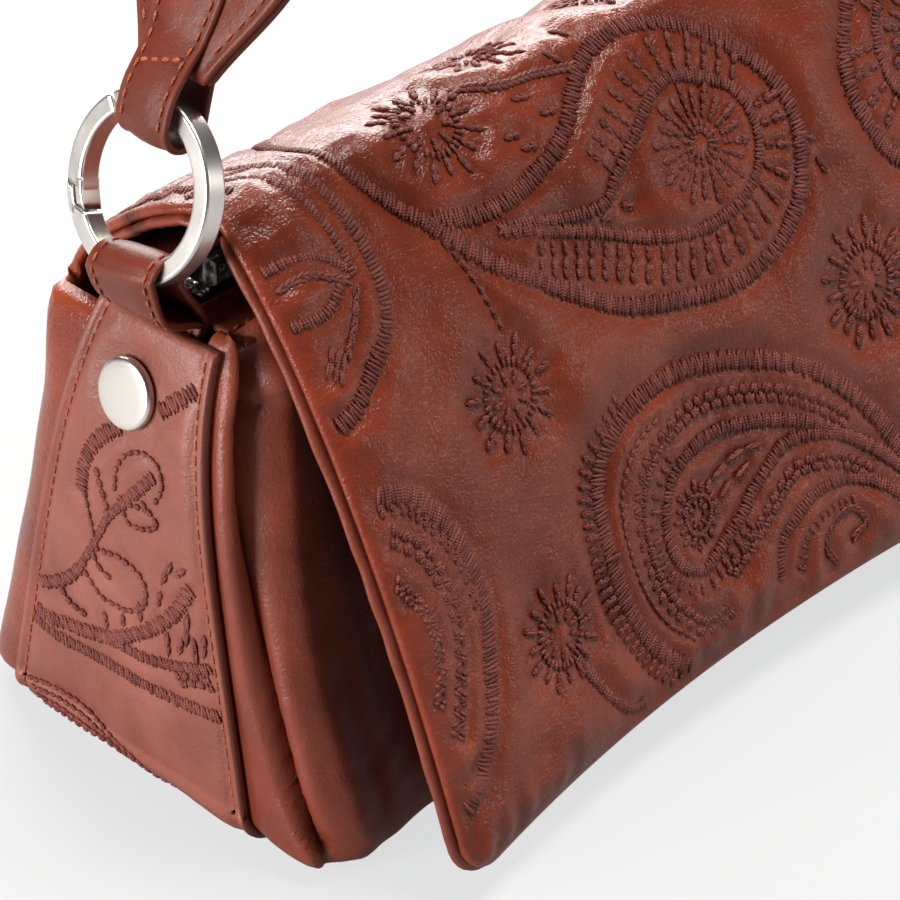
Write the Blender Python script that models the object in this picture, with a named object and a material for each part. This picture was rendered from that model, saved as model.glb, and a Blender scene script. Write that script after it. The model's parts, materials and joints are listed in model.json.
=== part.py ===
"""A small shoulder bag: an embroidered leather body with a zip top, a long front flap that closes on a
magnet, gate rings in leather tabs at both ends, and a soft shoulder strap.

Metres, +Z up. X runs along the bag, -Y is the front, and the bag stands on z = 0 with the origin under
the middle of its base. Each moving piece hangs on an empty that lies on its joint's axis.
"""

import math

import bmesh
import bpy
from mathutils import Matrix, Vector

# Clearances, and how far a cutter runs past what it cuts
GAP = 0.0003
OVERRUN = 0.002

# How finely curves are measured, and the share of a curve that its slope is taken over
CURVE_STEPS = 40
SLOPE_STEP = 0.005

# The body: half its length, its height at the zip, and how far its walls stand from the middle
BODY_HALF_LENGTH = 0.1318
END_LEAN = 0.0088
END_LEAN_POWER = 6
BODY_HEIGHT = 0.1070
FRONT_TOP = 0.0240
FRONT_BASE = 0.0575
BACK_TOP = 0.0257
BACK_BASE = 0.0520
FRONT_CURVE_POWER = 1.1
BACK_CURVE_POWER = 1.5
FRONT_BULGE = 0.0105
LINING_BULGE_SHARE = 0.72
BULGE_POWER = 1.5
BASE_RADIUS = 0.0050
END_RADIUS = 0.0060
PANEL_THICK = 0.0020
WALL_STEPS = 9
CORNER_STEPS = 3
BODY_STATIONS = 10

# The strip that runs down one end, under the base and up the other
STRIP_THICK = 0.0016
STRIP_GAP = 0.00035
STRIP_RISE = 0.0018
STRIP_TOP = BODY_HEIGHT + STRIP_RISE
STRIP_TOP_HALF = 0.0165
STRIP_TOP_MIDDLE = -0.0061
STRIP_BASE_HALF = 0.0370
STRIP_CORNER_RADIUS = 0.0080
STRIP_CORNER_STEPS = 5
STRIP_BASE_STEPS = 4
SEAM_OVERLAP = 0.0045
BODY_FLOOR = STRIP_THICK + GAP

# The rivet's height and the tab's foot, and the board and lining inside the leather
RIVET_DROP = 0.0153
RIVET_Z = STRIP_TOP - RIVET_DROP
TAB_LEG_BELOW_RIVET = 0.0145
TAB_LEG_BASE = RIVET_Z - TAB_LEG_BELOW_RIVET
REINFORCEMENT_BASE = 0.0080
REINFORCEMENT_DROP = 0.0050
REINFORCEMENT_TOP = TAB_LEG_BASE - REINFORCEMENT_DROP
REINFORCEMENT_THICK = 0.0018
BOARD_THICK = 0.0020
LINING_THICK = 0.0010
LINING_END_INSET = 0.0058
LINING_DROP = 0.0045
LINING_TOP = BODY_HEIGHT - LINING_DROP
POCKET_HALF_LENGTH = 0.0550
POCKET_BASE = 0.0320
POCKET_DROP = 0.0145
POCKET_TOP = LINING_TOP - POCKET_DROP
POCKET_DEPTH = 0.0090
POCKET_THICK = 0.0009
POCKET_STEPS = 4

# The wrap over the top: the back panel carries on as a crown, as far as the ridge where the flap folds
RIDGE_Y = -0.0160
RIDGE_RISE = 0.0272
RIDGE_Z = BODY_HEIGHT + RIDGE_RISE
CROWN_ROOT_DEPTH = 0.0040
CROWN_BASE_PULL = (-0.0037, 0.0085)
CROWN_RIDGE_PULL = (0.0140, 0.0013)
CROWN_END_INSET = 0.0125
CROWN_HALF_LENGTH = BODY_HALF_LENGTH - CROWN_END_INSET
CROWN_STEPS = 10
WRAP_THICK = 0.0024

# The flap, whose ends flare forward of its middle
FLAP_RIDGE_INSET = 0.0013
FLAP_RIDGE_HALF = CROWN_HALF_LENGTH - FLAP_RIDGE_INSET
FLAP_EDGE_INSET = 0.0030
FLAP_EDGE_HALF = FLAP_RIDGE_HALF - FLAP_EDGE_INSET
FLAP_SHOULDER_PULL = (-0.0180, -0.0122)
FLAP_EDGE_PULL = (0.0200, 0.0640)
FLAP_EDGE_STANDOFF = 0.0150
FLAP_EDGE_Y = -(FRONT_BASE + FLAP_EDGE_STANDOFF)
FLAP_EDGE_Z = 0.0120
FLAP_FLARE_Y = -0.0100
FLAP_FLARE_Z = -0.0055
FLAP_FLARE_POWER = 2.2
FLAP_CORNER_RADIUS = 0.0090
FLAP_ROWS = 11
FLAP_COLUMNS = 10
FLAP_CORNER_STEPS = 3
HINGE_SPLIT = 0.0006
RIDGE_EASE = 1.7
BINDING_WIDTH = 0.0070
BINDING_THICK = 0.0024
BINDING_PROUD = 0.0012

# The magnetic closure in the middle of the flap
MAGNET_HEIGHT = 0.0400
MAGNET_RADIUS = 0.0085
MAGNET_STUD_THICK = 0.0016
MAGNET_SEAT_DEPTH = 0.0090
MAGNET_WASHER_RADIUS = 0.0060
MAGNET_WASHER_THICK = 0.0007
MAGNET_PLATE_RADIUS = 0.0070
MAGNET_PLATE_THICK = 0.0008
MAGNET_PLATE_STANDOFF = 0.0008
MAGNET_SIDES = 28

# The zip along the top
ZIP_FACING_THICK = 0.0016
ZIP_FACING_INNER = 0.0070
ZIP_FACING_END_INSET = 0.0136
ZIP_FACING_HALF_LENGTH = BODY_HALF_LENGTH - ZIP_FACING_END_INSET
TAPE_THICK = 0.0007
TAPE_UNDER_FACING = 0.0050
CHAIN_END_INSET = 0.0062
CHAIN_HALF_LENGTH = ZIP_FACING_HALF_LENGTH - CHAIN_END_INSET
CHAIN_HALF_GAP = 0.0006
TOOTH_REACH = 0.0016
TOOTH_RAIL = 0.0012
TOOTH_THICK = 0.0018
TOOTH_PITCH = 0.0040
TOOTH_WIDTH = 0.0024
STOP_LENGTH = 0.0026

# The zip's slider and puller
SLIDER_END_INSET = 0.0080
SLIDER_X = -(CHAIN_HALF_LENGTH - SLIDER_END_INSET)
SLIDER_LENGTH = 0.0110
SLIDER_WIDTH = 0.0084
SLIDER_PLATE = 0.0010
SLIDER_BLADE = 0.0005
EAR_HEIGHT = 0.0028
EAR_LENGTH = 0.0030
EAR_THICK = 0.0008
PULL_KNUCKLE = 0.0018
PULL_PIN_RADIUS = 0.0005
PULL_PIN_SIDES = 12
PULL_LENGTH = 0.0120
PULL_WIDTH = 0.0060
PULL_THICK = 0.0010
PULL_TAB_LENGTH = 0.0130
PULL_TAB_WIDTH = 0.0078
PULL_TAB_THICK = 0.0030
PULL_TAB_OVERLAP = 0.0040

# The gate rings, one above each end, leaning in towards the strap
RING_END_INSET = 0.0080
RING_X = BODY_HALF_LENGTH - RING_END_INSET
RING_Y = -0.0035
RING_RISE = 0.0284
RING_Z = STRIP_TOP + RING_RISE
RING_LEAN = math.radians(20.0)
RING_RADIUS = 0.0170
RING_RADIAL_HALF = 0.0020
RING_AXIAL_HALF = 0.0025
RING_SIDES = 10
RING_SQUARENESS = 2.6
RING_STEP = math.radians(8.0)
GATE_NOSE = math.radians(-31.0)
GATE_LAP = math.radians(-19.0)
GATE_SHOULDER = math.radians(48.5)
FORK_END = math.radians(52.5)
GATE_PIN_ANGLE = math.radians(57.5)
FORK_DEPTH = math.radians(65.0)
LAP_GAP = math.radians(1.6)
LAP_SLANT = 0.95
LAP_MERGE = math.radians(1.0)
GATE_PIN_RADIUS = 0.0005
GATE_PIN_HALF = 0.00225
TONGUE_RADIUS = 0.0014
TONGUE_HALF = 0.0007
FORK_HALF = TONGUE_HALF + GAP + 0.0001
SPRING_START = math.radians(40.0)
SPRING_END = math.radians(47.5)
SPRING_END_CLEAR = math.radians(0.8)
SPRING_RADIAL_HALF = 0.0002
SPRING_AXIAL_HALF = 0.0004
GATE_PIN_SIDES = 14

# Leather loops that go round the rings, with room for the ring to turn and the strap to swing
LOOP_RADIAL_CLEAR = 0.0010
LOOP_AXIAL_CLEAR = 0.0016
LOOP_LEATHER = 0.0016
LOOP_SIDES = 12
TAB_Y = -0.0061
TAB_HALF = 0.0090
TAB_LEG_THICK = 0.0028
TAB_SHOULDER_OUT = 0.0045
TAB_SHOULDER_UP = 0.0022
TAB_THROAT_UP = 0.0040

# The rivet through each end
RIVET_Y = -0.0030
RIVET_CAP_RADIUS = 0.0074
RIVET_CAP_THICK = 0.0022
RIVET_CAP_BEVEL = 0.0007
RIVET_POST_RADIUS = 0.0018
WASHER_RADIUS = 0.0052
WASHER_THICK = 0.0008
WASHER_EASE = 0.0003
RIVET_SIDES = 32

# The shoulder strap, an arch between the rings
STRAP_LEAN = math.radians(28.0)
STRAP_APEX_RADIUS = 0.0285
STRAP_LAYER = 0.0019
STRAP_END_HALF = 0.0085
STRAP_HALF_WIDTH = 0.0225
STRAP_TAPER_START = 0.0060
STRAP_TAPER_LENGTH = 0.0320
STRAP_START = 0.0062
STRAP_STEPS = 34
STRAP_FOLD_RISE = 0.0620
STRAP_FOLD_LAYER = 0.0018
STRAP_FOLD_STEPS = 5


def material(name, colour, roughness, metallic=0.0):
    """A plain surface in the part's own colour."""
    found = bpy.data.materials.new(name)
    found.use_nodes = True
    shader = found.node_tree.nodes["Principled BSDF"]
    shader.inputs["Base Color"].default_value = (*colour, 1.0)
    shader.inputs["Roughness"].default_value = roughness
    shader.inputs["Metallic"].default_value = metallic
    return found


def hang(obj, parent):
    """Parents an object and leaves it where it is."""
    bpy.context.view_layer.update()
    obj.parent = parent
    obj.matrix_parent_inverse = parent.matrix_world.inverted()


def empty(name, place, parent=None):
    """A joint's frame, with its origin on the joint's axis."""
    found = bpy.data.objects.new(name, None)
    bpy.context.scene.collection.objects.link(found)
    found.location = place
    if parent:
        hang(found, parent)
    return found


def add(name, bm, surface, parent):
    """One named object from a closed bmesh."""
    bmesh.ops.recalc_face_normals(bm, faces=bm.faces)
    mesh = bpy.data.meshes.new(name)
    bm.to_mesh(mesh)
    bm.free()
    found = bpy.data.objects.new(name, mesh)
    bpy.context.scene.collection.objects.link(found)
    mesh.materials.append(surface)
    mesh.shade_smooth()
    mesh.set_sharp_from_angle(angle=math.radians(35))
    hang(found, parent)
    return found


def tool(name, bm):
    """A shape that only cuts others or is joined into them."""
    bmesh.ops.recalc_face_normals(bm, faces=bm.faces)
    mesh = bpy.data.meshes.new(name)
    bm.to_mesh(mesh)
    bm.free()
    found = bpy.data.objects.new(name, mesh)
    bpy.context.scene.collection.objects.link(found)
    found.hide_render = True
    found.display_type = "WIRE"
    return found


def cut(obj, shape):
    """Takes a tool's shape out of an object."""
    step = obj.modifiers.new("Cut", "BOOLEAN")
    step.operation = "DIFFERENCE"
    step.solver = "EXACT"
    step.object = shape


def join(obj, shape):
    """Makes a tool's shape part of an object."""
    step = obj.modifiers.new("Join", "BOOLEAN")
    step.operation = "UNION"
    step.solver = "EXACT"
    step.object = shape


def loft(rings):
    """A closed body through rings of points, with one face over each end."""
    bm = bmesh.new()
    rows = [[bm.verts.new(point) for point in ring] for ring in rings]
    count = len(rows[0])
    for low, high in zip(rows, rows[1:]):
        for i in range(count):
            j = (i + 1) % count
            bm.faces.new((low[i], low[j], high[j], high[i]))
    bm.faces.new(rows[0])
    bm.faces.new(rows[-1][::-1])
    return bm


def hoop(rings):
    """A closed body through rings of points that come round to the first again."""
    bm = bmesh.new()
    rows = [[bm.verts.new(point) for point in ring] for ring in rings]
    count = len(rows[0])
    for low, high in zip(rows, rows[1:] + rows[:1]):
        for i in range(count):
            j = (i + 1) % count
            bm.faces.new((low[i], low[j], high[j], high[i]))
    return bm


def shell(outer, inner):
    """A closed sheet between two grids of points that have the same rows and columns."""
    bm = bmesh.new()
    top, under = [[[bm.verts.new(p) for p in row] for row in grid] for grid in (outer, inner)]
    rows, columns = len(top), len(top[0])
    for r in range(rows - 1):
        for c in range(columns - 1):
            for grid in (top, under):
                bm.faces.new((grid[r][c], grid[r][c + 1], grid[r + 1][c + 1], grid[r + 1][c]))
    for r in range(rows - 1):
        for c in (0, columns - 1):
            bm.faces.new((top[r][c], top[r + 1][c], under[r + 1][c], under[r][c]))
    for c in range(columns - 1):
        for r in (0, rows - 1):
            bm.faces.new((top[r][c], top[r][c + 1], under[r][c + 1], under[r][c]))
    return bm


def prism(outline, low, high):
    """A YZ outline carried along X."""
    return loft([[Vector((x, y, z)) for y, z in outline] for x in (low, high)])


def box(low, high):
    """A plain block between two corners."""
    outline = [(low[1], low[2]), (high[1], low[2]), (high[1], high[2]), (low[1], high[2])]
    return prism(outline, low[0], high[0])


def disc(place, axis, radius, low, high, sides, bevel=0.0):
    """A round slug along an axis through a place, its high end rounded over by the bevel."""
    turn = Vector((0, 0, 1)).rotation_difference(Vector(axis)).to_matrix().to_4x4()
    frame = Matrix.Translation(place) @ turn
    half = math.radians(45)
    ends = [(radius, low), (radius, high - bevel)]
    if bevel:
        ends.append((radius - bevel * (1 - math.cos(half)), high - bevel * (1 - math.sin(half))))
        ends.append((radius - bevel, high))
    around = [2 * math.pi * i / sides for i in range(sides)]
    return loft([[frame @ Vector((r * math.cos(a), r * math.sin(a), h)) for a in around] for r, h in ends])


def bezier(points, share):
    """A point on a cubic curve."""
    rest = 1 - share
    weights = (rest**3, 3 * share * rest**2, 3 * share**2 * rest, share**3)
    return Vector([sum(w * p[k] for w, p in zip(weights, points)) for k in range(len(points[0]))])


def ramp(share):
    """A smooth step from 0 to 1."""
    share = min(1.0, max(0.0, share))
    return share * share * (3 - 2 * share)


def blend(low, high, share):
    """The value a share of the way from one to the other."""
    return low + (high - low) * share


# The leather body


def end_x(z):
    """How far out the body's end wall stands at a height: upright low down, leaning in near the top."""
    return BODY_HALF_LENGTH - END_LEAN * (z / BODY_HEIGHT) ** END_LEAN_POWER


def wall_levels(low, high):
    """Heights between two others where the walls, and what lies on them, share a row of points."""
    levels = [BODY_HEIGHT * i / WALL_STEPS for i in range(1, WALL_STEPS + 1)]
    return [z for z in levels if low + OVERRUN < z < high - OVERRUN / 2]


def rise_left(z):
    """The share of the body's height that is left above a height."""
    return max(0.0, 1 - z / BODY_HEIGHT)


def front_y(z):
    """The front wall at a height, beside the ends."""
    return -blend(FRONT_TOP, FRONT_BASE, rise_left(z) ** FRONT_CURVE_POWER)


def back_y(z):
    """The back wall at a height."""
    return blend(BACK_TOP, BACK_BASE, rise_left(z) ** BACK_CURVE_POWER)


def bulge(x, z):
    """How far the filled front wall swells forward of its ends."""
    along = max(0.0, 1 - (x / BODY_HALF_LENGTH) ** 2) ** BULGE_POWER
    return FRONT_BULGE * along * math.sin(math.pi * min(1.0, max(0.0, z / BODY_HEIGHT)))


def body_outline(x, inset, top, pull, fill):
    """The body's YZ outline at one station: base, front wall, top and back wall."""
    low = BODY_FLOOR + inset
    radius = max(BASE_RADIUS - inset, GAP)
    turns = [math.radians(90) * i / CORNER_STEPS for i in range(CORNER_STEPS + 1)]
    corner = [(radius * (1 - math.sin(a)), low + radius * (1 - math.cos(a))) for a in turns]
    climb = wall_levels(low + radius, top) + [top]
    side = [(draw, z, low + radius) for draw, z in corner] + [(0.0, z, z) for z in climb]
    front = [(front_y(at) - fill * bulge(x, at) + inset + pull + draw, z) for draw, z, at in side]
    back = [(back_y(at) - inset - pull - draw, z) for draw, z, at in side]
    return front + back[::-1]


def body_block(inset, top, end_inset=None, fill=1.0):
    """The whole body as one block, drawn in by an inset, with rounded upright corners."""
    ends = inset if end_inset is None else end_inset
    radius = max(END_RADIUS - inset, GAP)
    turns = [math.radians(90) * i / CORNER_STEPS for i in range(CORNER_STEPS, -1, -1)]
    corner = [(radius * (1 - math.sin(a)), radius * (1 - math.cos(a))) for a in turns]
    stations = [(-1.0, back, pull) for back, pull in corner]
    stations += [(2 * i / BODY_STATIONS - 1, radius, 0.0) for i in range(1, BODY_STATIONS)]
    stations += [(1.0, back, pull) for back, pull in corner[::-1]]
    rings = []
    for share, back, pull in stations:
        outline = body_outline(share * (BODY_HALF_LENGTH - ends - back), inset, top, pull, fill)
        rings.append([Vector((share * (end_x(z) - ends - back), y, z)) for y, z in outline])
    return loft(rings)


def round_foot(obj, inset, name):
    """Rounds the lower edges across the ends of a body block."""
    radius = END_RADIUS - inset
    low = BODY_FLOOR + inset
    far = BODY_HALF_LENGTH + OVERRUN
    middle = BODY_HALF_LENGTH - END_RADIUS
    turns = [math.radians(90) * i / STRIP_CORNER_STEPS for i in range(STRIP_CORNER_STEPS + 1)]
    curve = [(middle + radius * math.sin(a), low + radius - radius * math.cos(a)) for a in turns]
    outline = [(middle, low - OVERRUN)] + curve + [(far, low + radius), (far, low - OVERRUN)]
    for side, end in ((-1, "left"), (1, "right")):
        rings = [[Vector((side * x, y, z)) for x, z in outline] for y in (-2 * FRONT_BASE, 2 * BACK_BASE)]
        cut(obj, tool(f"{name}_{end}", loft(rings)))


def strip_half(z):
    """Half the width of the end strip at a height."""
    return blend(STRIP_BASE_HALF, STRIP_TOP_HALF, z / STRIP_TOP)


def strip_middle(z):
    """The middle line of the end strip at a height."""
    return STRIP_TOP_MIDDLE * z / STRIP_TOP


def seam_y(z, side):
    """The edge of a panel under the end strip: front with side -1, back with side 1."""
    return strip_middle(z) + side * (strip_half(z) - SEAM_OVERLAP)


def seam_cutter(name, side):
    """Everything past a panel's seam, so that what is left is the front or the back panel."""
    low, high, far = -OVERRUN, BODY_HEIGHT + OVERRUN, -side * (FRONT_BASE + BACK_BASE)
    outline = [(seam_y(low, side), low), (seam_y(high, side), high), (far, high), (far, low)]
    return tool(name, prism(outline, -BODY_HALF_LENGTH - OVERRUN, BODY_HALF_LENGTH + OVERRUN))


def crown_point(share):
    """The outer line of the crown, from inside the back wall's top to the ridge."""
    start = Vector((BACK_TOP, BODY_HEIGHT))
    ridge = Vector((RIDGE_Y, RIDGE_Z))
    pulls = (start, start + Vector(CROWN_BASE_PULL), ridge + Vector(CROWN_RIDGE_PULL), ridge)
    return bezier(pulls, share)


def crown_length():
    """The crown's length from the back wall's top to the ridge."""
    points = [crown_point(i / CURVE_STEPS) for i in range(CURVE_STEPS + 1)]
    return sum((b - a).length for a, b in zip(points, points[1:]))


def ridge_mitre():
    """How far a layer's edge draws back from the ridge for each unit of its depth."""
    return RIDGE_EASE * math.tan(Vector(FLAP_SHOULDER_PULL).angle(-Vector(CROWN_RIDGE_PULL)) / 2)


def crown_grid(start, end, half, depth):
    """Points of the crown at one depth under its outer face."""
    step = 1 / (4 * CROWN_STEPS)
    last = end - depth * ridge_mitre() / crown_length()
    grid = []
    for i in range(CROWN_STEPS + 1):
        share = blend(start, last, i / CROWN_STEPS)
        along = crown_point(min(1, share + step)) - crown_point(max(0, share - step))
        along.normalize()
        y, z = crown_point(share) + depth * Vector((-along.y, along.x))
        grid.append([Vector((x, y, z)) for x in (-half, half)])
    return grid


def make_body(root, leather, fabric, board):
    """Front and back panels, the strip round the ends, and what lies inside them."""
    hollow = tool("body_hollow", body_block(PANEL_THICK, BODY_HEIGHT + OVERRUN))
    round_foot(hollow, PANEL_THICK, "hollow_foot")
    front = add("front_panel", body_block(0.0, BODY_HEIGHT), leather, root)
    round_foot(front, 0.0, "front_foot")
    cut(front, hollow)
    cut(front, seam_cutter("behind_front_seam", -1))
    back = add("back_panel", body_block(0.0, BODY_HEIGHT), leather, root)
    round_foot(back, 0.0, "back_foot")
    cut(back, hollow)
    cut(back, seam_cutter("before_back_seam", 1))
    crown = crown_grid(0.0, 1.0, CROWN_HALF_LENGTH, 0.0)
    under = crown_grid(0.0, 1.0, CROWN_HALF_LENGTH, WRAP_THICK)
    root_row = [Vector((p.x, p.y, BODY_HEIGHT - CROWN_ROOT_DEPTH)) for p in crown[0]]
    root_under = [p - Vector((0, WRAP_THICK, 0)) for p in root_row]
    join(back, tool("crown", shell([root_row] + crown, [root_under] + under)))

    strip = add("gusset_strip", shell(strip_grid(0.0), strip_grid(STRIP_THICK)), leather, root)
    for side, end in ((-1, "left"), (1, "right")):
        hole = rivet_disc(side, RIVET_POST_RADIUS + GAP, -OVERRUN, 2 * OVERRUN)
        cut(strip, tool(f"{end}_rivet_hole", hole))

    for side, end in ((-1, "left"), (1, "right")):
        rings = []
        between = wall_levels(REINFORCEMENT_BASE, REINFORCEMENT_TOP)
        for z in [REINFORCEMENT_BASE] + between + [REINFORCEMENT_TOP]:
            front_edge, back_edge = seam_y(z, -1) + 2 * GAP, seam_y(z, 1) - 2 * GAP
            outer, inner = side * end_x(z), side * (end_x(z) - REINFORCEMENT_THICK)
            corners = ((outer, front_edge), (outer, back_edge), (inner, back_edge), (inner, front_edge))
            rings.append([Vector((x, y, z)) for x, y in corners])
        add(f"end_reinforcement_{end}", loft(rings), board, root)

    board_half = seam_y(BODY_FLOOR, 1) - 2 * GAP
    board_end = BODY_HALF_LENGTH - REINFORCEMENT_THICK - STRIP_CORNER_RADIUS / 2
    low = (-board_end, -board_half, BODY_FLOOR)
    high = (board_end, board_half, BODY_FLOOR + BOARD_THICK - GAP)
    add("base_board", box(low, high), board, root)
    make_lining(root, fabric)


def strip_grid(depth):
    """Points of the end strip at a depth under its outer face, from the left top round to the right."""
    radius = STRIP_CORNER_RADIUS
    out = STRIP_GAP + STRIP_THICK
    levels = [STRIP_TOP] + wall_levels(radius, STRIP_TOP)[::-1]
    side = [(end_x(z) + out - depth, z, z) for z in levels]
    foot_x = end_x(radius) + out
    for i in range(STRIP_CORNER_STEPS + 1):
        a = math.radians(90) * i / STRIP_CORNER_STEPS
        x = foot_x - radius + (radius - depth) * math.cos(a)
        side.append((x, radius - (radius - depth) * math.sin(a), radius * (1 - math.sin(a))))
    base = [blend(-1, 1, i / STRIP_BASE_STEPS) for i in range(1, STRIP_BASE_STEPS)]
    foot = foot_x - radius
    path = [(-x, z, at) for x, z, at in side] + [(foot * share, depth, 0.0) for share in base]
    path += [(x, z, at) for x, z, at in side[::-1]]
    edges = (-1, 0, 1)
    return [[Vector((x, strip_middle(at) + e * strip_half(at), z)) for e in edges] for x, z, at in path]


def make_lining(root, fabric):
    """The pouch that lines the body, and a slip pocket on its back wall."""
    inset = PANEL_THICK + GAP
    fill = LINING_BULGE_SHARE
    pouch = add("lining_pouch", body_block(inset, LINING_TOP, LINING_END_INSET, fill), fabric, root)
    inside = body_block(inset + LINING_THICK, LINING_TOP + OVERRUN, LINING_END_INSET + LINING_THICK, fill)
    cut(pouch, tool("pouch_hollow", inside))

    wall = inset + LINING_THICK + GAP

    def pocket_outline(near, far, low, high):
        heights = [blend(low, high, i / POCKET_STEPS) for i in range(POCKET_STEPS + 1)]
        out = [(back_y(z) - wall - near, z) for z in heights]
        return out + [(back_y(z) - wall - far, z) for z in heights[::-1]]

    outline = pocket_outline(0.0, POCKET_DEPTH, POCKET_BASE, POCKET_TOP)
    pocket = add("slip_pocket", prism(outline, -POCKET_HALF_LENGTH, POCKET_HALF_LENGTH), fabric, root)
    low, high = POCKET_BASE + POCKET_THICK, POCKET_TOP + OVERRUN
    hollow = pocket_outline(-OVERRUN, POCKET_DEPTH - POCKET_THICK, low, high)
    half = POCKET_HALF_LENGTH - POCKET_THICK
    cut(pocket, tool("pocket_hollow", prism(hollow, -half, half)))


def make_crown_lining(root, fabric, leather):
    """The lining under the crown, and the turned rolls along its two ends."""
    low = WRAP_THICK + GAP
    half = CROWN_HALF_LENGTH - BINDING_WIDTH - GAP
    start, end = 2 / CROWN_STEPS, 1 - 1 / (4 * CROWN_STEPS)
    grids = [crown_grid(start, end, half, depth) for depth in (low, low + LINING_THICK)]
    add("crown_lining", shell(*grids), fabric, root)
    for side, end_name in ((-1, "left"), (1, "right")):
        grids = []
        for depth in (low, low + BINDING_THICK):
            grid = crown_grid(start, end, 1.0, depth)
            edges = (CROWN_HALF_LENGTH - BINDING_WIDTH, CROWN_HALF_LENGTH)
            grids.append([[Vector((side * x, row[0].y, row[0].z)) for x in edges] for row in grid])
        add(f"crown_roll_{end_name}", shell(*grids), leather, root)


# The flap


def flap_section(x, share):
    """The flap's outer face at a distance along the bag, a share of the way from ridge to edge."""
    flare = min(1.3, abs(x) / FLAP_EDGE_HALF) ** FLAP_FLARE_POWER
    ridge = Vector((RIDGE_Y, RIDGE_Z))
    edge = Vector((FLAP_EDGE_Y + flare * FLAP_FLARE_Y, FLAP_EDGE_Z + flare * FLAP_FLARE_Z))
    pulls = (ridge, ridge + Vector(FLAP_SHOULDER_PULL), edge + Vector(FLAP_EDGE_PULL), edge)
    y, z = bezier(pulls, share)
    return Vector((x, y, z))


def flap_length():
    """The flap's length from ridge to edge along its middle."""
    points = [flap_section(0.0, i / CURVE_STEPS) for i in range(CURVE_STEPS + 1)]
    return sum((b - a).length for a, b in zip(points, points[1:]))


def flap_point(x, share, depth):
    """A point at a depth under the flap's outer face."""
    step = SLOPE_STEP
    along = flap_section(x, share + step) - flap_section(x, share - step)
    across = flap_section(x + step * FLAP_EDGE_HALF, share) - flap_section(x - step * FLAP_EDGE_HALF, share)
    outward = along.cross(across).normalized()
    if outward.y > 0:
        outward.negate()
    return flap_section(x, share) - outward * depth


def flap_half(share):
    """Half the flap's width a share of the way down."""
    return blend(FLAP_RIDGE_HALF, FLAP_EDGE_HALF, share)


def flap_grid(margin, depth, start):
    """Points over the flap at one depth, with its outline drawn in by a margin."""
    radius = FLAP_CORNER_RADIUS - margin if margin < FLAP_CORNER_RADIUS / 2 else FLAP_CORNER_RADIUS / 2
    length = flap_length()
    flat = 1 - radius / FLAP_EDGE_HALF
    turns = [math.radians(90) * i / FLAP_CORNER_STEPS for i in range(FLAP_CORNER_STEPS, 0, -1)]
    left = [(-(FLAP_EDGE_HALF - radius + radius * math.sin(a)) / FLAP_EDGE_HALF, radius * (1 - math.cos(a)))
            for a in turns]
    middle = [(flat * (2 * i / FLAP_COLUMNS - 1), 0.0) for i in range(FLAP_COLUMNS + 1)]
    columns = left + middle + [(-x, drop) for x, drop in left[::-1]]
    start += depth * ridge_mitre() / length
    grid = []
    for r in range(FLAP_ROWS + 1):
        row = []
        for across, drop in columns:
            end = 1 - (margin + drop) / length
            share = blend(start, end, r / FLAP_ROWS)
            row.append(flap_point(across * (flap_half(share) - margin), share, depth))
        grid.append(row)
    return grid


def binding_grid(depth, start):
    """Points of the roll under the flap's border: down one side, along the edge and up the other."""
    length = flap_length()
    grid = []
    for margin in (-BINDING_PROUD, BINDING_WIDTH - BINDING_PROUD):
        radius = max(FLAP_CORNER_RADIUS - margin, FLAP_CORNER_RADIUS / 4)
        foot = length - margin - radius
        first = start * length + depth * ridge_mitre()
        side = [blend(first, foot, i / FLAP_ROWS) for i in range(FLAP_ROWS)]
        path = [(-(flap_half(b / length) - margin), b) for b in side]
        out = FLAP_EDGE_HALF - margin - radius
        for i in range(2 * FLAP_CORNER_STEPS + 1):
            a = math.radians(90) * i / (2 * FLAP_CORNER_STEPS)
            path.append((-(out + radius * math.cos(a)), foot + radius * math.sin(a)))
        for i in range(1, FLAP_COLUMNS // 2):
            path.append((-out * (1 - 2 * i / FLAP_COLUMNS), foot + radius))
        path += [(0.0, foot + radius)] + [(-x, b) for x, b in path[::-1]]
        grid.append([flap_point(x, b / length, depth) for x, b in path])
    return grid


def magnet_frame():
    """The place and the outward direction of the flap's outer face at the magnet."""
    low, high = 0.0, 1.0
    for _ in range(30):
        middle = (low + high) / 2
        if flap_section(0.0, middle).z > MAGNET_HEIGHT:
            low = middle
        else:
            high = middle
    place = flap_point(0.0, low, 0.0)
    return place, (place - flap_point(0.0, low, WRAP_THICK)).normalized()


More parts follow.
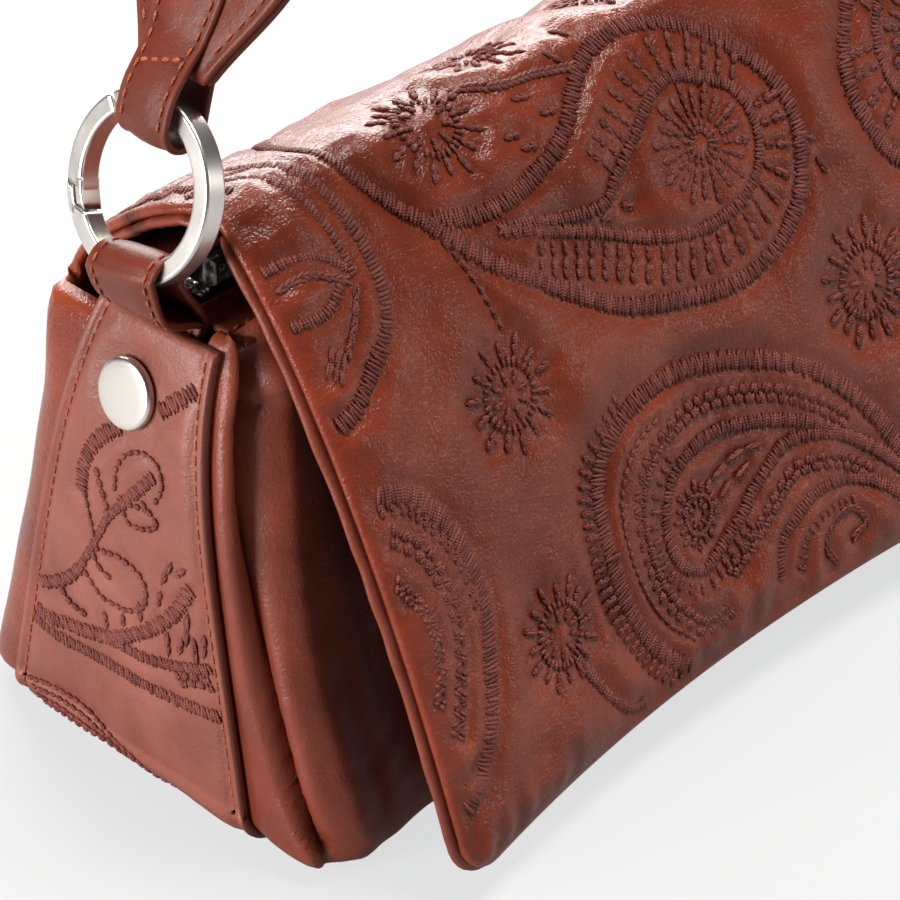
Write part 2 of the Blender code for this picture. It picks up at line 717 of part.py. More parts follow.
def make_flap(root, hinge, leather, fabric, metal):
    """The flap and its half of the magnet, and the other half on the front panel."""
    start = HINGE_SPLIT / flap_length()
    grids = [flap_grid(0.0, depth, start) for depth in (0.0, WRAP_THICK)]
    panel = add("flap_panel", shell(*grids), leather, hinge)
    low = WRAP_THICK + GAP
    root_share = 3 * start
    margin = BINDING_WIDTH - BINDING_PROUD + GAP
    grids = [flap_grid(margin, depth, root_share) for depth in (low, low + LINING_THICK)]
    add("flap_lining", shell(*grids), fabric, hinge)
    grids = [binding_grid(depth, root_share) for depth in (low, low + BINDING_THICK)]
    add("flap_edge_roll", shell(*grids), leather, hinge)

    place, outward = magnet_frame()
    inward = -outward
    face = low + LINING_THICK + GAP
    seat = disc(place, inward, MAGNET_WASHER_RADIUS + GAP, low - MAGNET_WASHER_THICK - GAP, low, MAGNET_SIDES)
    cut(panel, tool("magnet_recess", seat))
    sunk = low - MAGNET_WASHER_THICK
    washer = disc(place, inward, MAGNET_WASHER_RADIUS, sunk, low - GAP, MAGNET_SIDES)
    add("magnet_washer", washer, metal, hinge)
    stud = disc(place, inward, MAGNET_RADIUS, face, face + MAGNET_STUD_THICK, MAGNET_SIDES)
    add("magnet_stud", stud, metal, hinge)
    top = face + MAGNET_STUD_THICK + GAP
    socket = disc(place, inward, MAGNET_RADIUS, top, top + MAGNET_SEAT_DEPTH, MAGNET_SIDES)
    socket = add("magnet_socket", socket, metal, root)
    cut(socket, tool("front_face", body_block(-GAP, BODY_HEIGHT)))

    z = place.z
    step = GAP
    slope = (front_y(z + step) - bulge(0, z + step) - front_y(z - step) + bulge(0, z - step)) / (2 * step)
    into = Vector((0, 1, -slope)).normalized()
    wall = Vector((0, front_y(z) - bulge(0, z), z))
    near = PANEL_THICK + GAP + MAGNET_PLATE_STANDOFF
    plate = disc(wall, into, MAGNET_PLATE_RADIUS, near, near + MAGNET_PLATE_THICK, MAGNET_SIDES)
    add("magnet_backing_plate", plate, metal, root)


# The zip


def comb(side):
    """One row of teeth on its rail, as an XY outline carried up through its thickness."""
    face = CHAIN_HALF_GAP
    rail = face + TOOTH_REACH
    count = math.floor((2 * CHAIN_HALF_LENGTH + GAP) / TOOTH_PITCH)
    start = -CHAIN_HALF_LENGTH
    outline = [(start, rail + TOOTH_RAIL), (start, rail)]
    for i in range(count):
        x = start + (i + (1 - TOOTH_WIDTH / TOOTH_PITCH) / 2) * TOOTH_PITCH
        outline += [(x, rail), (x, face), (x + TOOTH_WIDTH, face), (x + TOOTH_WIDTH, rail)]
    outline += [(-start, rail), (-start, rail + TOOTH_RAIL)]
    middle = tape_middle()
    heights = (middle - TOOTH_THICK / 2, middle + TOOTH_THICK / 2)
    return loft([[Vector((x, side * y, z)) for x, y in outline] for z in heights])


def facing_base():
    """The underside of the zip's facing strips, which lie on the panels' top edges."""
    return BODY_HEIGHT + GAP


def tape_middle():
    """The height of the zip tapes' middle."""
    return facing_base() - GAP - TAPE_THICK / 2


def make_zip(root, runner, swing, leather, fabric, metal):
    """Facings, tapes, teeth and stops, and the slider with its puller."""
    base = facing_base()
    top = base + ZIP_FACING_THICK
    half = ZIP_FACING_HALF_LENGTH
    inner = BACK_TOP - WRAP_THICK - ZIP_FACING_THICK - GAP
    add("zip_facing_front", box((-half, -FRONT_TOP, base), (half, -ZIP_FACING_INNER, top)), leather, root)
    add("zip_facing_back", box((-half, ZIP_FACING_INNER, base), (half, inner, top)), leather, root)
    rail = CHAIN_HALF_GAP + TOOTH_REACH + TOOTH_RAIL
    outer = ZIP_FACING_INNER + TAPE_UNDER_FACING
    tape_low, tape_high = base - GAP - TAPE_THICK, base - GAP
    for side, name in ((-1, "front"), (1, "back")):
        ys = sorted((side * (rail + GAP), side * outer))
        tape = box((-CHAIN_HALF_LENGTH, ys[0], tape_low), (CHAIN_HALF_LENGTH, ys[1], tape_high))
        add(f"zip_tape_{name}", tape, fabric, root)
        add(f"zip_teeth_{name}", comb(side), metal, root)

    middle = tape_middle()
    start = CHAIN_HALF_LENGTH + GAP
    stop_end = start + STOP_LENGTH
    for side, end in ((-1, "left"), (1, "right")):
        xs = sorted((side * start, side * stop_end))
        low, high = middle - TOOTH_THICK / 2, middle + TOOTH_THICK / 2
        add(f"zip_stop_{end}", box((xs[0], -rail, low), (xs[1], rail, high)), metal, root)
        xs = sorted((side * (stop_end + GAP), side * half))
        width = ZIP_FACING_INNER - GAP
        add(f"zip_end_piece_{end}", box((xs[0], -width, base), (xs[1], width, top)), leather, root)
    make_slider(runner, swing, leather, metal)


def pull_axis():
    """The height of the pin that the zip puller swings on."""
    return slider_top() + EAR_HEIGHT / 2


def slider_top():
    """The upper face of the zip slider."""
    return tape_middle() + TOOTH_THICK / 2 + GAP + SLIDER_PLATE


def make_slider(runner, swing, leather, metal):
    """The slider, whose blade runs between the rows of teeth, with its link and leather pull."""
    half_length, half_width = SLIDER_LENGTH / 2, SLIDER_WIDTH / 2
    top = slider_top()
    bottom = 2 * tape_middle() - top
    x = SLIDER_X

    def block(across, low, high, length=half_length):
        return box((x - length, -across, low), (x + length, across, high))

    slider = add("zip_slider", block(half_width, top - SLIDER_PLATE, top), metal, runner)
    join(slider, tool("slider_under", block(half_width, bottom, bottom + SLIDER_PLATE)))
    blade = block(SLIDER_BLADE / 2, bottom + SLIDER_PLATE / 2, top - SLIDER_PLATE / 2)
    join(slider, tool("slider_blade", blade))
    axis = (x, 0.0, pull_axis())
    bore = PULL_PIN_RADIUS + GAP
    near = PULL_KNUCKLE / 2 + GAP
    far = near + EAR_THICK
    for side in (-1, 1):
        ys = sorted((side * near, side * far))
        low = (x - EAR_LENGTH / 2, ys[0], top - SLIDER_PLATE / 2)
        high = (x + EAR_LENGTH / 2, ys[1], top + EAR_HEIGHT)
        join(slider, tool(f"slider_ear_{ys[0] < 0}", box(low, high)))
    cut(slider, tool("ear_bores", disc(axis, (0, 1, 0), bore, -2 * far, 2 * far, PULL_PIN_SIDES)))

    z = axis[2]
    thick = PULL_THICK / 2
    neck = EAR_LENGTH / 2 + 2 * GAP
    link = box((x - thick, -PULL_KNUCKLE / 2, z - thick), (x + PULL_LENGTH / 2, PULL_KNUCKLE / 2, z + thick))
    link = add("zip_pull_link", link, metal, swing)
    wide = box((x + neck, -PULL_WIDTH / 2, z - thick), (x + PULL_LENGTH, PULL_WIDTH / 2, z + thick))
    join(link, tool("link_plate", wide))
    pin = disc(axis, (0, 1, 0), PULL_PIN_RADIUS, -far, far, PULL_PIN_SIDES)
    join(link, tool("link_pin", pin))
    near_x = x + PULL_LENGTH - PULL_TAB_OVERLAP
    half_tab, width = PULL_TAB_THICK / 2, PULL_TAB_WIDTH / 2
    leather_tab = box((near_x, -width, z - half_tab), (near_x + PULL_TAB_LENGTH, width, z + half_tab))
    leather_tab = add("zip_pull_leather", leather_tab, leather, swing)
    slot_low = (near_x - OVERRUN, -PULL_WIDTH / 2 - GAP, z - thick - GAP)
    slot_high = (x + PULL_LENGTH + GAP, PULL_WIDTH / 2 + GAP, z + thick + GAP)
    cut(leather_tab, tool("pull_slot", box(slot_low, slot_high)))


# Rings, gates and the leather loops round them


def ring_axes(side):
    """A ring's outward normal and the direction in its plane that points up."""
    normal = Vector((side * math.cos(RING_LEAN), 0, math.sin(RING_LEAN)))
    upward = Vector((-side * math.sin(RING_LEAN), 0, math.cos(RING_LEAN)))
    return normal, upward


def ring_middle(side):
    """The middle of a ring."""
    return Vector((side * RING_X, RING_Y, RING_Z))


def ring_point(side, angle, radius, rise):
    """A point by its angle round a ring from the back upwards, its radius and its rise along the normal."""
    normal, upward = ring_axes(side)
    spoke = math.cos(angle) * Vector((0, 1, 0)) + math.sin(angle) * upward
    return ring_middle(side) + spoke * radius + normal * rise


def ring_section(side, angle, radius, radial, axial, sides, slant=0.0):
    """The ring's rounded square section at one angle, or slanted so that it faces inwards."""
    points = []
    power = 2 / RING_SQUARENESS
    for i in range(sides):
        a = 2 * math.pi * (i + 0.5) / sides
        out = math.copysign(abs(math.cos(a)) ** power, math.cos(a)) * radial
        rise = math.copysign(abs(math.sin(a)) ** power, math.sin(a)) * axial
        shift = slant * (radius + out - RING_RADIUS) / RING_RADIUS
        points.append(ring_point(side, angle + shift, radius + out, rise))
    return points


def arc(side, start, end, radius, radial, axial, sides, start_slant=0.0, end_slant=0.0):
    """A length of ring between two angles, its end faces radial or slanted."""
    steps = max(1, round((end - start) / RING_STEP))
    angles = [blend(start, end, i / steps) for i in range(steps + 1)]
    slants = [start_slant] + [0.0] * (steps - 1) + [end_slant]
    ends = zip(angles, slants)
    return loft([ring_section(side, a, radius, radial, axial, sides, slant) for a, slant in ends])


def loop_hole(side, name):
    """The room that a leather loop leaves for its ring."""
    steps = round(2 * math.pi / RING_STEP)
    radial, axial = RING_RADIAL_HALF + LOOP_RADIAL_CLEAR, RING_AXIAL_HALF + LOOP_AXIAL_CLEAR
    angles = [2 * math.pi * i / steps for i in range(steps)]
    rings = [ring_section(side, a, RING_RADIUS, radial, axial, LOOP_SIDES) for a in angles]
    return tool(name, hoop(rings))


def loop_head(side, middle, half):
    """The leather that goes round the ring, over the width of its tab or strap."""
    reach = math.asin(half / RING_RADIUS)
    radial = RING_RADIAL_HALF + LOOP_RADIAL_CLEAR + LOOP_LEATHER
    axial = RING_AXIAL_HALF + LOOP_AXIAL_CLEAR + LOOP_LEATHER
    return arc(side, middle - reach, middle + reach, RING_RADIUS, radial, axial, LOOP_SIDES)


def pin_disc(side, radius, half):
    """A slug on the gate's hinge line."""
    place = ring_point(side, GATE_PIN_ANGLE, RING_RADIUS, 0.0)
    return disc(place, ring_axes(side)[0], radius, -half, half, GATE_PIN_SIDES)


def make_ring(side, end, turner, opener, metal):
    """A ring with its forked end, and the sprung gate on a pin in the fork."""
    radial, axial, half = RING_RADIAL_HALF, RING_AXIAL_HALF, RING_RADIAL_HALF / 2
    full = 2 * math.pi
    nose = full + GATE_NOSE - LAP_GAP
    body = arc(side, FORK_END, nose, RING_RADIUS, radial, axial, RING_SIDES, 0.0, LAP_SLANT)
    ring = add(f"ring_{end}", body, metal, turner)
    lip_end = full + GATE_LAP - LAP_GAP
    outside, lap = RING_RADIUS + half + GAP / 2, half - GAP / 2
    lip = arc(side, nose - LAP_MERGE, lip_end, outside, lap, axial, RING_SIDES, 0.0, LAP_SLANT)
    join(ring, tool(f"ring_lip_{end}", lip))
    slot_radial = 2 * RING_RADIAL_HALF
    slot = arc(side, FORK_END - LAP_MERGE, FORK_DEPTH, RING_RADIUS, slot_radial, FORK_HALF, 4)
    cut(ring, tool(f"ring_fork_{end}", slot))
    bore = GATE_PIN_RADIUS + GAP
    cut(ring, tool(f"ring_bore_{end}", pin_disc(side, bore, 2 * axial)))

    gate = arc(side, GATE_LAP, GATE_SHOULDER, RING_RADIUS, radial, axial, RING_SIDES, LAP_SLANT)
    gate = add(f"gate_{end}", gate, metal, opener)
    inner = RING_RADIUS - half - GAP / 2
    finger = arc(side, GATE_NOSE, GATE_LAP + LAP_MERGE, inner, lap, axial, RING_SIDES, LAP_SLANT)
    join(gate, tool(f"gate_nose_{end}", finger))
    tongue = arc(side, GATE_SHOULDER - LAP_MERGE, GATE_PIN_ANGLE, RING_RADIUS, TONGUE_RADIUS, TONGUE_HALF, 4)
    join(gate, tool(f"gate_tongue_{end}", tongue))
    join(gate, tool(f"gate_knuckle_{end}", pin_disc(side, TONGUE_RADIUS, TONGUE_HALF)))
    cut(gate, tool(f"gate_bore_{end}", pin_disc(side, bore, 2 * axial)))
    room = arc(side, SPRING_START, SPRING_END, RING_RADIUS - radial, radial, SPRING_AXIAL_HALF + GAP, 4)
    cut(gate, tool(f"spring_room_{end}", room))
    add(f"gate_pin_{end}", pin_disc(side, GATE_PIN_RADIUS, GATE_PIN_HALF), metal, turner)
    first, last = SPRING_START + SPRING_END_CLEAR, SPRING_END - SPRING_END_CLEAR
    place = RING_RADIUS - radial / 2
    leaf = arc(side, first, last, place, SPRING_RADIAL_HALF, SPRING_AXIAL_HALF, 4)
    add(f"gate_spring_{end}", leaf, metal, opener)


def rivet_disc(side, radius, low, high, bevel=0.0):
    """A slug along a rivet, measured outwards from the end strip's outer face."""
    x = end_x(RIVET_Z) + STRIP_GAP + STRIP_THICK
    slope = (end_x(RIVET_Z - GAP) - end_x(RIVET_Z + GAP)) / (2 * GAP)
    return disc((side * x, RIVET_Y, RIVET_Z), (side, 0, slope), radius, low, high, RIVET_SIDES, bevel)


def make_tab(side, end, root, leather, metal):
    """The leather tab that holds a ring, and the rivet that holds the tab."""
    low = ring_point(side, math.radians(-90), RING_RADIUS, 0.0)
    normal = ring_axes(side)[0]
    reach = RING_AXIAL_HALF + LOOP_AXIAL_CLEAR + LOOP_LEATHER / 2
    head_out, head_in = low + normal * reach, low - normal * reach
    levels = [TAB_LEG_BASE] + wall_levels(TAB_LEG_BASE, STRIP_TOP) + [STRIP_TOP]
    outer = [(side * (end_x(z) - GAP), z) for z in levels]
    inner = [(x - side * TAB_LEG_THICK, z) for x, z in outer]
    mouth, throat = outer[-1][0], inner[-1][0]
    head = [
        (mouth, STRIP_TOP + GAP),
        (mouth + side * TAB_SHOULDER_OUT, STRIP_TOP + TAB_SHOULDER_UP),
        (head_out.x, head_out.z),
        (head_in.x, head_in.z),
        (throat, STRIP_TOP + TAB_THROAT_UP),
    ]
    outline = outer[:-1] + head + inner[::-1]
    rings = [[Vector((x, y, z)) for x, z in outline] for y in (TAB_Y - TAB_HALF, TAB_Y + TAB_HALF)]
    tab = add(f"ring_tab_{end}", loft(rings), leather, root)
    angle = -math.radians(90) - math.asin((RING_Y - TAB_Y) / RING_RADIUS)
    join(tab, tool(f"tab_head_{end}", loop_head(side, angle, TAB_HALF)))
    cut(tab, loop_hole(side, f"tab_hole_{end}"))
    depth = STRIP_THICK + STRIP_GAP + GAP + TAB_LEG_THICK
    cut(tab, tool(f"tab_rivet_hole_{end}", rivet_disc(side, RIVET_POST_RADIUS + GAP, -2 * depth, OVERRUN)))
    cap = rivet_disc(side, RIVET_CAP_RADIUS, GAP, RIVET_CAP_THICK, RIVET_CAP_BEVEL)
    cap = add(f"rivet_{end}", cap, metal, root)
    join(cap, tool(f"rivet_post_{end}", rivet_disc(side, RIVET_POST_RADIUS, -depth, 2 * GAP)))
    back = depth + GAP + WASHER_EASE
    add(f"rivet_washer_{end}", rivet_disc(side, WASHER_RADIUS, -back - WASHER_THICK, -back), metal, root)


# The strap


def strap_frame(side, distance):
    """A point of the strap's middle line and its outward side, by distance from a ring."""
    start = ring_point(side, math.radians(90), RING_RADIUS, 0.0)
    straight = strap_straight()
    turn = STRAP_LEAN + max(0.0, distance - straight) / STRAP_APEX_RADIUS
    outward = Vector((side * math.cos(turn), 0, math.sin(turn)))
    place = start + strap_direction(side, STRAP_LEAN) * min(distance, straight)
    if distance > straight:
        first = Vector((side * math.cos(STRAP_LEAN), 0, math.sin(STRAP_LEAN)))
        place += (outward - first) * STRAP_APEX_RADIUS
    return place, outward


def strap_direction(side, lean):
    """The way up the strap where it leans in by an angle."""
    return Vector((-side * math.sin(lean), 0, math.cos(lean)))


def strap_straight():
    """The length of one straight leg of the strap."""
    start = ring_point(1, math.radians(90), RING_RADIUS, 0.0)
    return start.x / math.sin(STRAP_LEAN) - STRAP_APEX_RADIUS / math.tan(STRAP_LEAN)


def strap_leg():
    """The strap's length from a ring to the middle of its arch."""
    return strap_straight() + STRAP_APEX_RADIUS * (math.radians(90) - STRAP_LEAN)


def strap_half(distance):
    """Half the strap's width at a distance from a ring."""
    share = ramp((distance - STRAP_TAPER_START) / STRAP_TAPER_LENGTH)
    return blend(STRAP_END_HALF, STRAP_HALF_WIDTH, share)


def strap_grid(offset):
    """Points over the strap, offset outwards from its middle line, from the left ring to the right one."""
    leg = strap_leg()
    taper = STRAP_TAPER_START + STRAP_TAPER_LENGTH
    near = [blend(STRAP_START, taper, i / 6) for i in range(6)]
    far = [blend(taper, leg, i / (STRAP_STEPS // 2)) for i in range(STRAP_STEPS // 2 + 1)]
    left = [(-1, d) for d in near + far]
    path = left + [(1, d) for _, d in left[-2::-1]]
    grid = []
    for side, distance in path:
        place, outward = strap_frame(side, distance)
        half = strap_half(distance)
        grid.append([place + outward * offset + Vector((0, y, 0)) for y in (-half, 0.0, half)])
    return grid


def make_strap(swing, leather):
    """The strap's two layers, and the folded ends that loop round the rings."""
    outer = [strap_grid(offset) for offset in (GAP / 2 + STRAP_LAYER, GAP / 2)]
    inner = [strap_grid(offset) for offset in (-GAP / 2, -GAP / 2 - STRAP_LAYER)]
    add("strap_outer", shell(*outer), leather, swing)
    add("strap_inner", shell(*inner), leather, swing)
    near = GAP / 2 + STRAP_LAYER + GAP
    for side, end in ((-1, "left"), (1, "right")):
        grids = []
        for offset in (near, near + STRAP_FOLD_LAYER):
            grid = []
            for i in range(STRAP_FOLD_STEPS + 1):
                place, outward = strap_frame(side, blend(0.0, STRAP_FOLD_RISE, i / STRAP_FOLD_STEPS))
                half = STRAP_END_HALF
                grid.append([place + outward * offset + Vector((0, y, 0)) for y in (-half, half)])
            grids.append(grid)
        fold = add(f"strap_fold_{end}", shell(*grids), leather, swing)
        join(fold, tool(f"fold_head_{end}", loop_head(side, math.radians(90), STRAP_END_HALF)))
        cut(fold, loop_hole(side, f"fold_hole_{end}"))


def main():
    """Builds the whole bag."""
    for obj in list(bpy.data.objects):
        bpy.data.objects.remove(obj)
    leather = material("leather", (0.185, 0.052, 0.030), 0.38)
    lining = material("lining", (0.055, 0.032, 0.026), 0.85)
    board = material("board", (0.30, 0.22, 0.15), 0.9)
    metal = material("satin_nickel", (0.72, 0.70, 0.66), 0.28, 1.0)
    root = empty("bag", (0, 0, 0))
    hinge = empty("flap_hinge", (0, RIDGE_Y, RIDGE_Z), root)
    runner = empty("zip_runner", (SLIDER_X, 0, tape_middle()), root)
    swing = empty("zip_pull_pivot", (SLIDER_X, 0, pull_axis()), runner)
    strap = empty("strap_pivot", (0, RING_Y, RING_Z), root)
    make_body(root, leather, lining, board)
    make_crown_lining(root, lining, leather)
    make_flap(root, hinge, leather, lining, metal)
    make_zip(root, runner, swing, leather, lining, metal)
    for side, end in ((-1, "left"), (1, "right")):
        turner = empty(f"ring_{end}_axis", ring_middle(side), root)
        pin = ring_point(side, GATE_PIN_ANGLE, RING_RADIUS, 0.0)
        opener = empty(f"gate_{end}_pivot", pin, turner)
        make_ring(side, end, turner, opener, metal)
        make_tab(side, end, root, leather, metal)
    make_strap(strap, leather)


main()
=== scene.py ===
"""The looks of the shoulder bag: padded embroidered leather, painted edges, stitching and satin nickel
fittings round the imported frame, with a studio floor, lights and the camera at the photograph's angle."""

import json
import math
from functools import partial

import bpy
import numpy as np
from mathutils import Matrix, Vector
from mathutils.kdtree import KDTree


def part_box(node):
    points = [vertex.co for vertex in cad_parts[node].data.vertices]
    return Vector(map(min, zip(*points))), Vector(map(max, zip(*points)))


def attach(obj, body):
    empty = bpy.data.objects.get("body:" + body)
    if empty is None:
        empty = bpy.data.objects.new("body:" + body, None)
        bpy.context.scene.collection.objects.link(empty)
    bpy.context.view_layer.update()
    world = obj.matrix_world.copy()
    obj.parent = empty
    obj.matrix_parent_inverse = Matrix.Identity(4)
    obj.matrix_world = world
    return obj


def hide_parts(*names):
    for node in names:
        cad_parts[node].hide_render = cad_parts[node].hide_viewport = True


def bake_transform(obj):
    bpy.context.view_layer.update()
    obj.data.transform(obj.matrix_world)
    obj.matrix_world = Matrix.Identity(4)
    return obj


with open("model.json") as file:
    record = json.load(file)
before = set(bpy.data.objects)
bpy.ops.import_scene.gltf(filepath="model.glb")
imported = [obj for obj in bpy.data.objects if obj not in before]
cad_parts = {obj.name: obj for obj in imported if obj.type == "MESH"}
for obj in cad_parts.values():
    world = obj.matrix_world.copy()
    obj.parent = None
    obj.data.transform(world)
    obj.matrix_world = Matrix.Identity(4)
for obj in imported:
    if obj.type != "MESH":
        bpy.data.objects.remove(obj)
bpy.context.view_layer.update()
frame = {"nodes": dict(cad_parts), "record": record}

MM = 0.001
CLEAR = 0.0003

# The body's walls, as in the CAD
END_HALF = 0.1318
END_LEAN = 0.0088
END_POWER = 6
HEIGHT = 0.1070
FLOOR = 0.00195
FRONT_TOP, FRONT_BASE, FRONT_POWER = 0.0240, 0.0575, 1.1
BACK_TOP, BACK_BASE, BACK_POWER = 0.0257, 0.0520, 1.5
FRONT_BULGE = 0.0105
FRONT_HOLLOW = 0.0050
SKIN = 0.0020

# The strip round the ends and under the base
STRIP_THICK = 0.0016
STRIP_TOP = 0.1088
STRIP_TOP_HALF, STRIP_BASE_HALF = 0.0165, 0.0370
STRIP_TOP_MIDDLE = -0.0061
STRIP_CORNER = 0.0080
STRIP_OUT = 0.00195
OVERLAP = 0.0045

# The crown and the flap
RIDGE_Y, RIDGE_Z = -0.0160, 0.1342
CROWN_HALF = 0.1193
FLAP_RIDGE_HALF, FLAP_EDGE_HALF = 0.1180, 0.1150
FLAP_EDGE_Y, FLAP_EDGE_Z = -0.0725, 0.0120
FLARE_Y, FLARE_Z, FLARE_POWER = -0.0100, -0.0055, 2.2
FLAP_CORNER = 0.0090
WRAP = 0.0024
BLEND_START, BLEND_END = (0, -0.0060, 0.1345), (0, -0.0250, 0.1310)

# Rings, tabs, rivets and the strap
RING_X, RING_Y, RING_Z = 0.1238, -0.0035, 0.1372
RING_LEAN = math.radians(20)
RING_RADIUS, RING_RADIAL, RING_AXIAL = 0.0170, 0.0020, 0.0025
GATE_LAP, GATE_NOSE = math.radians(-19), math.radians(-31)
GATE_SHOULDER, FORK_END = math.radians(48.5), math.radians(52.5)
LAP_GAP, LAP_SLANT = math.radians(1.6), 0.95
RING_CHAMFER = 0.90
TAB_Y, TAB_HALF, TAB_NECK_HALF = -0.0061, 0.0090, 0.0074
TAB_FOOT, TAB_HEAD = 0.0790, 0.1088
TAB_THICK = 1.35 * MM
TAB_SHOULDER, TAB_THROAT = (0.1300, 0.1138), (0.1208, 0.1130)
RIVET_Y, RIVET_Z = -0.0030, 0.0935
RIVET_RADIUS, RIVET_RISE = 7.4 * MM, 2.2 * MM
STRAP_LEAN = math.radians(28)
STRAP_APEX = 0.0285
STRAP_LAYER = 0.0019
STRAP_START = 0.0062
STRAP_NECK_HALF, STRAP_WIDE_HALF = 0.0076, 0.0218
STRAP_WIDENS = (-0.0010, 0.0350)
FOLD_RISE, FOLD_THICK = 0.0620, 1.5 * MM
FOLD_LOOP_HALF, FOLD_END_HALF = 0.0070, 0.0085
CROSS_SLANT = 0.33

# The zip. A facing has its side, the Y of its two edges and a seed; a tooth's steps are how far each
# stands from the middle, in millimetres, and how big the tooth is there
ZIP_Z = 0.1073
FACING_HALF, FACING_THICK = 0.1182, 1.6 * MM
FACINGS = (("front", -1, -0.0240, -0.0070, 81), ("back", 1, 0.0070, 0.0214, 82))
FACING_SEAM_Z = ZIP_Z + FACING_THICK + 0.18 * MM
OUTER_SEAM_Y, OUTER_SEAM_HALF, INNER_SEAM_HALF = -0.0188, 0.1170, 0.1160
TAPE_HALF, TAPE_THICK = 0.1120, 0.7 * MM
TAPE_INNER, TAPE_OUTER = 3.7 * MM, 12.0 * MM
TAPE_Z = ZIP_Z - 0.65 * MM
TEETH, TOOTH_PITCH = 56, 4.0 * MM
TOOTH_HALF_X, TOOTH_HALF_Z = 1.15 * MM, 0.9 * MM
TOOTH_STEPS = ((0.6, 0.75), (0.9, 1.0), (2.2, 1.0), (2.2, 1.25), (3.4, 1.25))
TOOTH_CORNERS = ((-1, -0.6), (-0.6, -1), (0.6, -1), (1, -0.6), (1, 0.6), (0.6, 1), (-0.6, 1), (-1, 0.6))
ZIP_END_X, ZIP_END_HALF = 0.1152, 6.7 * MM

SIDES = (("left", -1), ("right", 1))
UP = np.array([0.0, 0.0, 1.0])


# Numbers and curves


def ramp(value, low, high):
    """A smooth step from 0 at low to 1 at high."""
    t = np.clip((value - low) / (high - low), 0, 1)
    return t * t * (3 - 2 * t)


def mix(low, high, share):
    """The value a share of the way from one to the other."""
    return low + (high - low) * share


def unit(vectors):
    """Vectors of length 1."""
    return vectors / np.maximum(np.linalg.norm(vectors, axis=-1, keepdims=True), 1e-12)


WAVES = 9


def ripple(u, v, length, seed):
    """Soft, even waves of about one length in all directions, between about -1 and 1."""
    draw = np.random.default_rng(seed)
    total = 0
    for _ in range(WAVES):
        turn, phase = draw.uniform(0, 2 * math.pi, 2)
        rate = 2 * math.pi / (length * draw.uniform(0.7, 1.5))
        total = total + np.cos(rate * (u * math.cos(turn) + v * math.sin(turn)) + phase)
    return total / math.sqrt(2 * WAVES)


def waves(u, v, *layers):
    """Several ripples together, each by its length, seed and height."""
    return sum(ripple(u, v, length, seed) * height for length, seed, height in layers)


def bezier(points, share):
    """Points on a cubic curve, by arrays of shares."""
    t = np.asarray(share, float)[..., None]
    r = 1 - t
    a, b, c, d = points
    return r**3 * a + 3 * r * r * t * b + 3 * r * t * t * c + t**3 * d


def curve(points, step, closed=False):
    """A smooth line through points, resampled at an even step."""
    p = np.asarray(points, float)
    ring = np.vstack([p[-1:], p, p[:2]]) if closed else np.vstack([2 * p[0] - p[1], p, 2 * p[-1] - p[-2]])
    out = []
    for i in range(1, len(ring) - 2):
        a, b, c, d = ring[i - 1:i + 3]
        for t in np.linspace(0, 1, 12, endpoint=False):
            out.append(0.5 * (2 * b + (c - a) * t + (2 * a - 5 * b + 4 * c - d) * t**2
                              + (3 * b - a - 3 * c + d) * t**3))
    out.append(ring[-2])
    out = np.array(out)
    along = np.concatenate([[0], np.cumsum(np.linalg.norm(np.diff(out, axis=0), axis=1))])
    count = max(2, int(round(along[-1] / step)) + 1)
    at = np.linspace(0, along[-1], count)
    return np.stack([np.interp(at, along, out[:, k]) for k in range(out.shape[1])], axis=1)


def edge_steps(width, radius, step):
    """Places across a width, close together where the two borders round over."""
    rim = np.array([0, 0.12, 0.4, 1.0]) * radius
    count = max(2, int(round((width - 2 * radius) / step)))
    middle = np.linspace(radius, width - radius, count + 1)
    return np.concatenate([rim[:-1], middle, width - rim[:-1][::-1]])


# Meshes


def mesh_object(name, points, faces, surface, body, replaced=()):
    """One smooth piece that rides on a body."""
    mesh = bpy.data.meshes.new(name)
    mesh.from_pydata(np.asarray(points).tolist(), [], faces)
    mesh.shade_smooth()
    mesh.materials.append(surface)
    obj = bpy.data.objects.new(name, mesh)
    bpy.context.scene.collection.objects.link(obj)
    if isinstance(body, str):
        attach(obj, body)
    else:
        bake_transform(obj)
    if replaced:
        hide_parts(*replaced)
    return obj


def pillow(outer, inner, cells=None):
    """Points and faces of a closed sheet between two grids that share their border."""
    rows, cols = outer.shape[:2]
    cells = np.ones((rows - 1, cols - 1), bool) if cells is None else cells
    pad = np.pad(cells, 1)
    around = pad[:-1, :-1].astype(int) + pad[1:, :-1] + pad[:-1, 1:] + pad[1:, 1:]
    used, inside = around > 0, around == 4
    top = np.full((rows, cols), -1)
    top[used] = np.arange(used.sum())
    under = top.copy()
    under[inside] = used.sum() + np.arange(inside.sum())
    r, c = np.nonzero(cells)
    faces = []
    for grid, flip in ((top, False), (under, True)):
        quads = np.stack([grid[r, c], grid[r, c + 1], grid[r + 1, c + 1], grid[r + 1, c]], axis=1)
        faces += (quads[:, ::-1] if flip else quads).tolist()
    return np.vstack([outer[used], inner[inside]]), faces


def facing(middle, outward, weight):
    """True where a grid's own winding faces outwards, by each cell's weight."""
    a = middle[1:, :-1] - middle[:-1, :-1]
    b = middle[:-1, 1:] - middle[:-1, :-1]
    return np.sum(np.cross(b, a) * outward[:-1, :-1] * weight[..., None]) > 0


